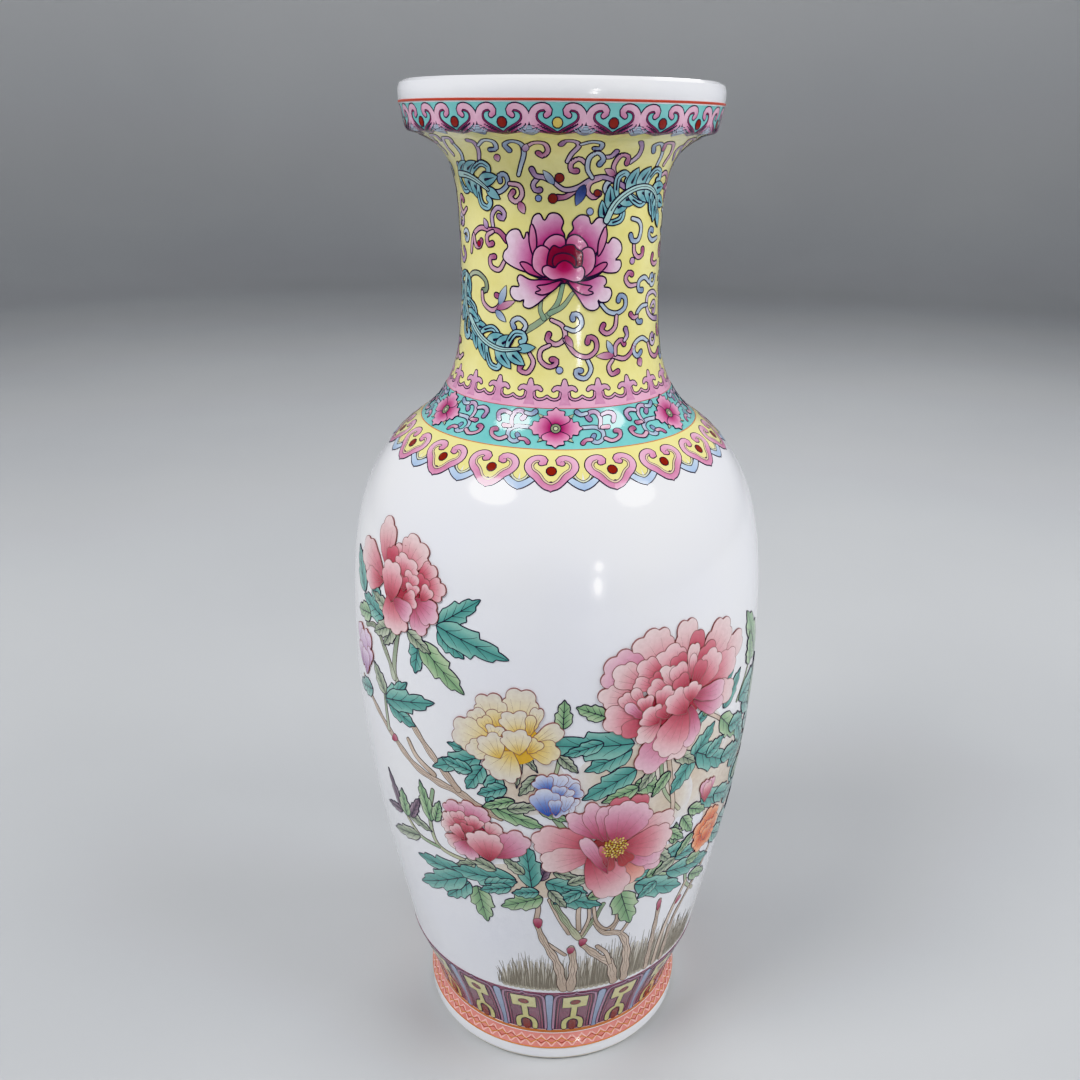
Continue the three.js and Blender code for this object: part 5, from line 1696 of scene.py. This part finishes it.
WOOD = ("#cbb8a4", "#dac8b8", "#c2ae9c")
SAP = ("#8fae8c", "#a9bd9c", "#c6c6a8")
NODE_RED = ("#8c1f3c", "#b04a66", "#c87c90")

# Stems: places (degrees, height), one width or several spread along it, and enamel.
STEMS = [
    ([(-65, 164), (-56, 157), (-48, 150.4), (-40, 143.6), (-32, 140.8), (-25, 139.2), (-19, 135),
      (-14, 132.6)], [1.8, 2.4, 2.8, 3.2], WOOD),
    ([(-43, 166), (-36, 155.4), (-30, 147), (-25.6, 140.6)], [2.0, 2.6, 3.0], WOOD),
    ([(-41.4, 153), (-38.6, 147.6), (-33, 143.4)], [1.4, 2.0], WOOD),
    ([(-60, 187.4), (-54, 189.4), (-48, 181), (-45.8, 175)], [1.5, 2.2], DULL),
    ([(-43.6, 193), (-45.2, 183), (-45.4, 176), (-42.6, 171.6)], [1.6, 2.0], DULL),
    ([(-50.8, 167), (-50.4, 159), (-50, 152)], [1.0, 1.4], DULL),
    ([(-34, 136), (-36.4, 122), (-34.4, 110.6), (-24, 108.4)], 1.3, SAP),
    ([(-34.6, 110), (-42, 110.4), (-46.6, 115.4)], 1.2, SAP),
    ([(-0.6, 136), (3.4, 128.4), (8, 121)], 1.8, SAP), ([(1.6, 162), (0.6, 154), (-0.6, 150)], 1.0, SAP),
    ([(41, 166), (47, 160.4), (50, 157)], 1.2, WOOD),
    ([(30.4, 152), (32, 141), (33.6, 129), (31, 118.4)], 1.5, WOOD),
    ([(28, 152), (30, 139), (36, 128)], 1.2, SAP),
    ([(47.6, 125), (40, 119), (37, 112), (34, 104)], 1.3, SAP),
    ([(-7, 103), (-4.4, 93), (-5, 85)], 1.5, WOOD),
    ([(1, 104), (0, 97), (2.6, 88), (8.2, 75)], [1.6, 2.2, 2.8], SAP),
    ([(8.4, 100), (7.6, 90), (8, 80)], [1.1, 1.5], WOOD),
    ([(15, 92), (12.4, 84), (8.4, 75)], [1.4, 2.2], SAP),
    ([(12, 92), (13.4, 83), (17, 78), (20, 82), (18.6, 92)], 1.0, WOOD),
    ([(56, 88), (50, 78), (45, 66), (44, 45.4)], [1.5, 2.2], WOOD),
    ([(45, 92), (47.4, 84), (53, 77)], 1.3, SAP), ([(35.6, 84), (36, 66), (36.4, 45.4)], [1.5, 2.4], WOOD),
    ([(-5, 84), (-2.8, 74), (1.6, 61), (4, 45.4)], [1.9, 2.6, 3.4, 3.8], WOOD),
    ([(6, 70), (7, 60), (6.6, 45.4)], [2.4, 3.2, 3.8], WOOD),
    ([(9.6, 71), (15.6, 62.6), (20, 57.4), (22.6, 45.4)], [2.4, 3.4, 3.8], WOOD),
    ([(13, 83), (16, 76.4), (22, 73.4), (25.4, 64), (26.8, 45.4)], [1.8, 2.6, 3.4, 3.8], WOOD),
    ([(-1, 96), (2, 86), (5, 78)], 1.2, WOOD), ([(10, 97), (11, 86), (9, 77)], 1.0, WOOD),
    ([(22, 92), (21, 84), (19, 77)], 1.3, WOOD), ([(24, 90), (24.6, 80), (22, 73)], 1.0, WOOD),
    ([(47, 86), (43, 74), (40.6, 60), (40, 45.4)], [1.2, 1.8], WOOD),
    ([(58, 160), (64, 168), (69, 177)], 1.2, SAP), ([(-2.8, 74), (0.6, 70), (4, 66)], 1.2, WOOD),
    ([(20, 57.4), (18, 64), (14.6, 69)], 1.4, WOOD),
    ([(50, 78), (58, 93), (65, 112), (69, 134), (72, 154)], [1.8, 1.5, 1.1], WOOD),
    ([(184, 150), (186, 136), (181, 120), (176, 104), (172, 90)], [1.8, 2.4, 2.8], WOOD),
    ([(185, 137), (191, 132), (196, 127)], 1.2, SAP),
]

# Swollen red nodes on the stems: foot and top (degrees, height), then width.
RED_NODES = [
    ((-4.3, 80.8), (-4.6, 86.2), 3.6), ((9.2, 70.4), (9.8, 74.6), 3.4), ((5.6, 66.4), (6, 70.2), 3.2),
    ((35.6, 78), (35.4, 84), 2.4), ((44, 75.2), (45.8, 79), 3.0), ((-48.8, 148.4), (-46.4, 151.2), 3.0),
]

GRASS_FOOT = 45.4
# The height of the grass above its foot, by direction in degrees.
GRASS_DIRECTIONS = (-20, -16, -10, -3, 5, 14, 24, 34, 44, 60)
GRASS_TOPS = (4, 14, 20, 20, 16, 23, 26, 23, 24, 12)
GRASS_START = -19.5
GRASS_SPAN = 80
GRASS_BLADES = 270
GRASS_WASH = ("#bbb5a3", "#c4beaf", "#dad6ce")
WASH_START = -17
WASH_SPAN = 76
WASH_STRIPS = 40


def grass_top(degrees):
    """The height that the grass reaches in one direction."""
    return np.interp(degrees, GRASS_DIRECTIONS, GRASS_TOPS)


def paint_grass():
    """Tufts of thin blades that lean outwards in clumps, over a pale wash."""
    grass = Picture(None)
    for k in range(WASH_STRIPS):
        degrees = WASH_START + WASH_SPAN * k / (WASH_STRIPS - 1)
        top = grass_top(degrees) * 0.8
        grass.canvas = Canvas(degrees, GRASS_FOOT)
        grass.lift = FIRST_COAT + 0.004 * (k % 2)
        strip = Stroke([(0, 0.4), (0.2, top / 2), (0, top)], [2.6, 2.6, 1.2])
        strip.lay(grass.enamel, grass.canvas, grass.lift, fade((0, 0), (0, top), *GRASS_WASH))
    for k in range(GRASS_BLADES):
        degrees = GRASS_START + GRASS_SPAN * (k + dice.uniform(0, 1)) / GRASS_BLADES
        top = grass_top(degrees) * dice.uniform(0.55, 1.05)
        lean = dice.normal(0, 1.1) + 0.9 * math.sin(k * 0.45)
        foot = dice.uniform(0, 1.5)
        grass.canvas = Canvas(degrees, GRASS_FOOT)
        grass.lift = FIRST_COAT + COAT * (1 + k % 3)
        points = [(0, foot), (lean * 0.3, foot + top * 0.5), (lean, foot + top)]
        blade = Stroke(points, [0.34, 0.32, 0.1], step=2.0)
        blade.lay(grass.lines, grass.canvas, grass.lift, INK_SHADE)
    grass.hang("grass", "grass_enamel", "grass", ink=GRASS_INK)


# Pale warm wash between the leaves: place (degrees, height), half width, half height.
WASH = [
    ((-8, 148), 15, 13), ((18, 150), 17, 12), ((40, 145), 16, 22), ((-4, 105), 22, 8),
    ((30, 104), 20, 9), ((60, 125), 16, 28), ((31, 134), 12, 12),
]
WASH_SHADES = ("#d8c9b4", "#dccfbe", "#e2dace", "#e8e6e6")


def paint_wash():
    """A pale warm ground that fades out among the leaves."""
    wash = Picture(None)
    for place, width, height in WASH:
        wash.canvas = Canvas(*place)
        outline = disc((0, 0), width, height / width)
        wash.fill(outline, fade((0, 0), (max(width, height), 0), *WASH_SHADES), (0, 0))
        wash.lift += COAT * 0.6
    wash.hang("garden_wash", "bark_enamel")


def paint_stems():
    """The woody trunks, green stems and red nodes, behind the leaves."""
    stems = Picture(None, FIRST_COAT + COAT * 4)
    first = stems.lift
    for k, (places, width, codes) in enumerate(STEMS):
        stems.lift = first + COAT * (k % 4)
        placed_stem(stems, places, width, codes)
    for foot, top, width in RED_NODES:
        stems.lift = first + COAT * 4
        stems.canvas = Canvas(*foot)
        tip = stems.canvas.local(*top)
        outline = petal_outline((0, 0), tip, width, NODE_NOTCH)
        stems.cased([Fill(outline)], fade((0, 0), tip, *NODE_RED), 0.2)
    stems.hang("stems", "bark_enamel", "trunk", ink=BARK_INK)


def paint_leaves():
    """Each group of leaves, as pieces of its own."""
    for name, group in LEAVES.items():
        picture = Picture(None, LEAF_LIFT, THIN_COAT)
        for base, tip, width, codes in group:
            placed_leaf(picture, base, tip, width, codes)
        nodes = (name,) if name in LEAF_NODES else ()
        slot = "green_enamel" if name in GREEN_LEAVES else "teal_enamel"
        picture.hang(name, slot, *nodes)


STAMENS = 60
STAMEN_TURN = 2.4         # radians from one stamen to the next, so that they spread evenly


def stamens(picture, centre, radius):
    """A cushion of pollen dots, some of them ringed."""
    for k in range(STAMENS):
        away = radius * math.sqrt((k + 0.5) / STAMENS)
        turn = k * STAMEN_TURN
        spot = (centre[0] + away * math.cos(turn), centre[1] + away * math.sin(turn))
        shade = colour(("#d9bf52", "#e8d47c", "#b9983a")[k % 3])
        picture.fill(disc(spot, 0.42), shade, spot)
        if k % 3 == 0:
            picture.line(disc(spot, 0.5), 0.1, closed=True)


def paint_flowers():
    """Each flower, from its back petals to its heart, over the leaves."""
    for name, slot, place, petals, (centre, radius, code) in FLOWERS:
        picture = Picture(Canvas(*place), FLOWER_LIFT, THIN_COAT)
        picture.fill(disc(centre, radius), colour(code), centre)
        picture.next_coat()
        for base, tip, width, codes in petals:
            petal(picture, base, tip, width, codes)
        if name == "peony_open":
            stamens(picture, (3.5, -1.5), 4.6)
        nodes = () if name in UNBUILT_FLOWERS else (name,)
        picture.hang(name, slot, *nodes, ink=FLOWER_INK)


paint_borders()
paint_neck("neck_front", 0, "neck_peony")
paint_neck("neck_back", 180)
paint_wash()
paint_grass()
paint_stems()
paint_leaves()
paint_flowers()


# ---- stage ---------------------------------------------------------------------------------

# The camera stands close, level with the lip, and looks down at the vase (millimetres, degrees).
CAMERA_PLACE = (0.5, -352.7, 346.5)
CAMERA_DOWN = 22.38
CAMERA_ROLL = 0.65
FIELD_OF_VIEW = 55.94
CAMERA_SHIFT = (-0.017, 0.0067)
LIT_SPOT = (0, 0, 0.2)    # metres, as are the lights and the floor
FLOOR_RADIUS = 3.0
FLOOR_STEPS = 96
BACKDROP_BEND = 0.9
BACKDROP_TOP = 2.8


def make_camera():
    """The camera, tilted down and a little rolled."""
    lens = bpy.data.cameras.new("camera")
    lens.angle = math.radians(FIELD_OF_VIEW)
    lens.shift_x, lens.shift_y = CAMERA_SHIFT
    lens.clip_start = 0.01
    camera = bpy.data.objects.new("camera", lens)
    camera.location = Vector(CAMERA_PLACE) * MM
    tilt = Euler((math.radians(90 - CAMERA_DOWN), 0, 0)).to_matrix()
    roll = Euler((0, 0, math.radians(CAMERA_ROLL))).to_matrix()
    camera.rotation_euler = (tilt @ roll).to_euler()
    bpy.context.scene.collection.objects.link(camera)
    bpy.context.scene.camera = camera


def area_light(name, place, size, power, reflected=True):
    """An oval studio light that points at the middle of the vase, in metres and watts."""
    data = bpy.data.lights.new(name, "AREA")
    data.shape = "ELLIPSE"
    data.size, data.size_y = size
    data.energy = power
    lamp = bpy.data.objects.new(name, data)
    lamp.location = place
    lamp.rotation_euler = (Vector(LIT_SPOT) - Vector(place)).to_track_quat("-Z", "Y").to_euler()
    lamp.visible_glossy = reflected
    bpy.context.scene.collection.objects.link(lamp)


def make_lights():
    """Studio lights: a key and a fill, two small windows that reflect, and soft light all round."""
    bpy.context.scene.view_settings.view_transform = "Khronos PBR Neutral"
    area_light("key", (-0.85, -0.60, 1.5), (0.75, 0.55), 18)
    area_light("upper_window", (0.55, -1.35, 0.447), (0.08, 0.08), 0.8)
    area_light("lower_window", (0.52, -1.35, 0.233), (0.07, 0.14), 1.2)
    area_light("fill", (0.95, -0.50, 1.35), (0.6, 0.5), 8)
    area_light("right", (1.45, 0.05, 0.75), (0.6, 1.0), 10, reflected=False)
    area_light("left", (-1.45, 0.25, 0.80), (0.6, 1.0), 5, reflected=False)
    area_light("back", (0.2, 1.1, 1.1), (1.0, 0.5), 6)
    world = bpy.data.worlds.new("studio")
    world.use_nodes = True
    background = world.node_tree.nodes["Background"]
    background.inputs["Color"].default_value = (0.86, 0.89, 0.95, 1)
    background.inputs["Strength"].default_value = 0.2
    bpy.context.scene.world = world


def make_floor():
    """A round pale floor whose rim curves up into a backdrop on every side."""
    arc = [(FLOOR_RADIUS - BACKDROP_BEND + BACKDROP_BEND * math.sin(a),
            BACKDROP_BEND - BACKDROP_BEND * math.cos(a)) for a in np.linspace(0, math.pi / 2, 20)]
    rows = [(0.4, 0.0), (1.2, 0.0)] + arc + [(FLOOR_RADIUS, BACKDROP_TOP)]
    turns = np.arange(FLOOR_STEPS) * 2 * math.pi / FLOOR_STEPS
    vertices = [(0, 0, 0)] + [(r * math.cos(a), r * math.sin(a), z) for r, z in rows for a in turns]
    faces = [(0, 1 + k, 1 + (k + 1) % FLOOR_STEPS) for k in range(FLOOR_STEPS)]
    for row in range(len(rows) - 1):
        first = 1 + row * FLOOR_STEPS
        faces += ring_faces(first + FLOOR_STEPS, first, FLOOR_STEPS, True)
    floor = new_object("floor", vertices, faces, 60)
    floor.data.materials.append(pale_floor())


def pale_floor():
    """A plain grey that pales with height, so that the backdrop looks evenly lit."""
    made = Material("pale floor", 0.6)
    shade = made.blend(made.spread(made.noise(2.0), 0, 1), colour("#b6b8bb"), colour("#bdbfc1"))
    place = made.node("ShaderNodeTexCoord")
    height = made.node("ShaderNodeSeparateXYZ")
    made.links.new(place.outputs["Object"], height.inputs[0])
    rise = made.node("ShaderNodeMapRange")
    made.links.new(height.outputs["Z"], rise.inputs["Value"])
    made.paint(made.blend(rise.outputs["Result"], shade, colour("#f2f3f4")))
    return made.material


make_camera()
make_lights()
make_floor()
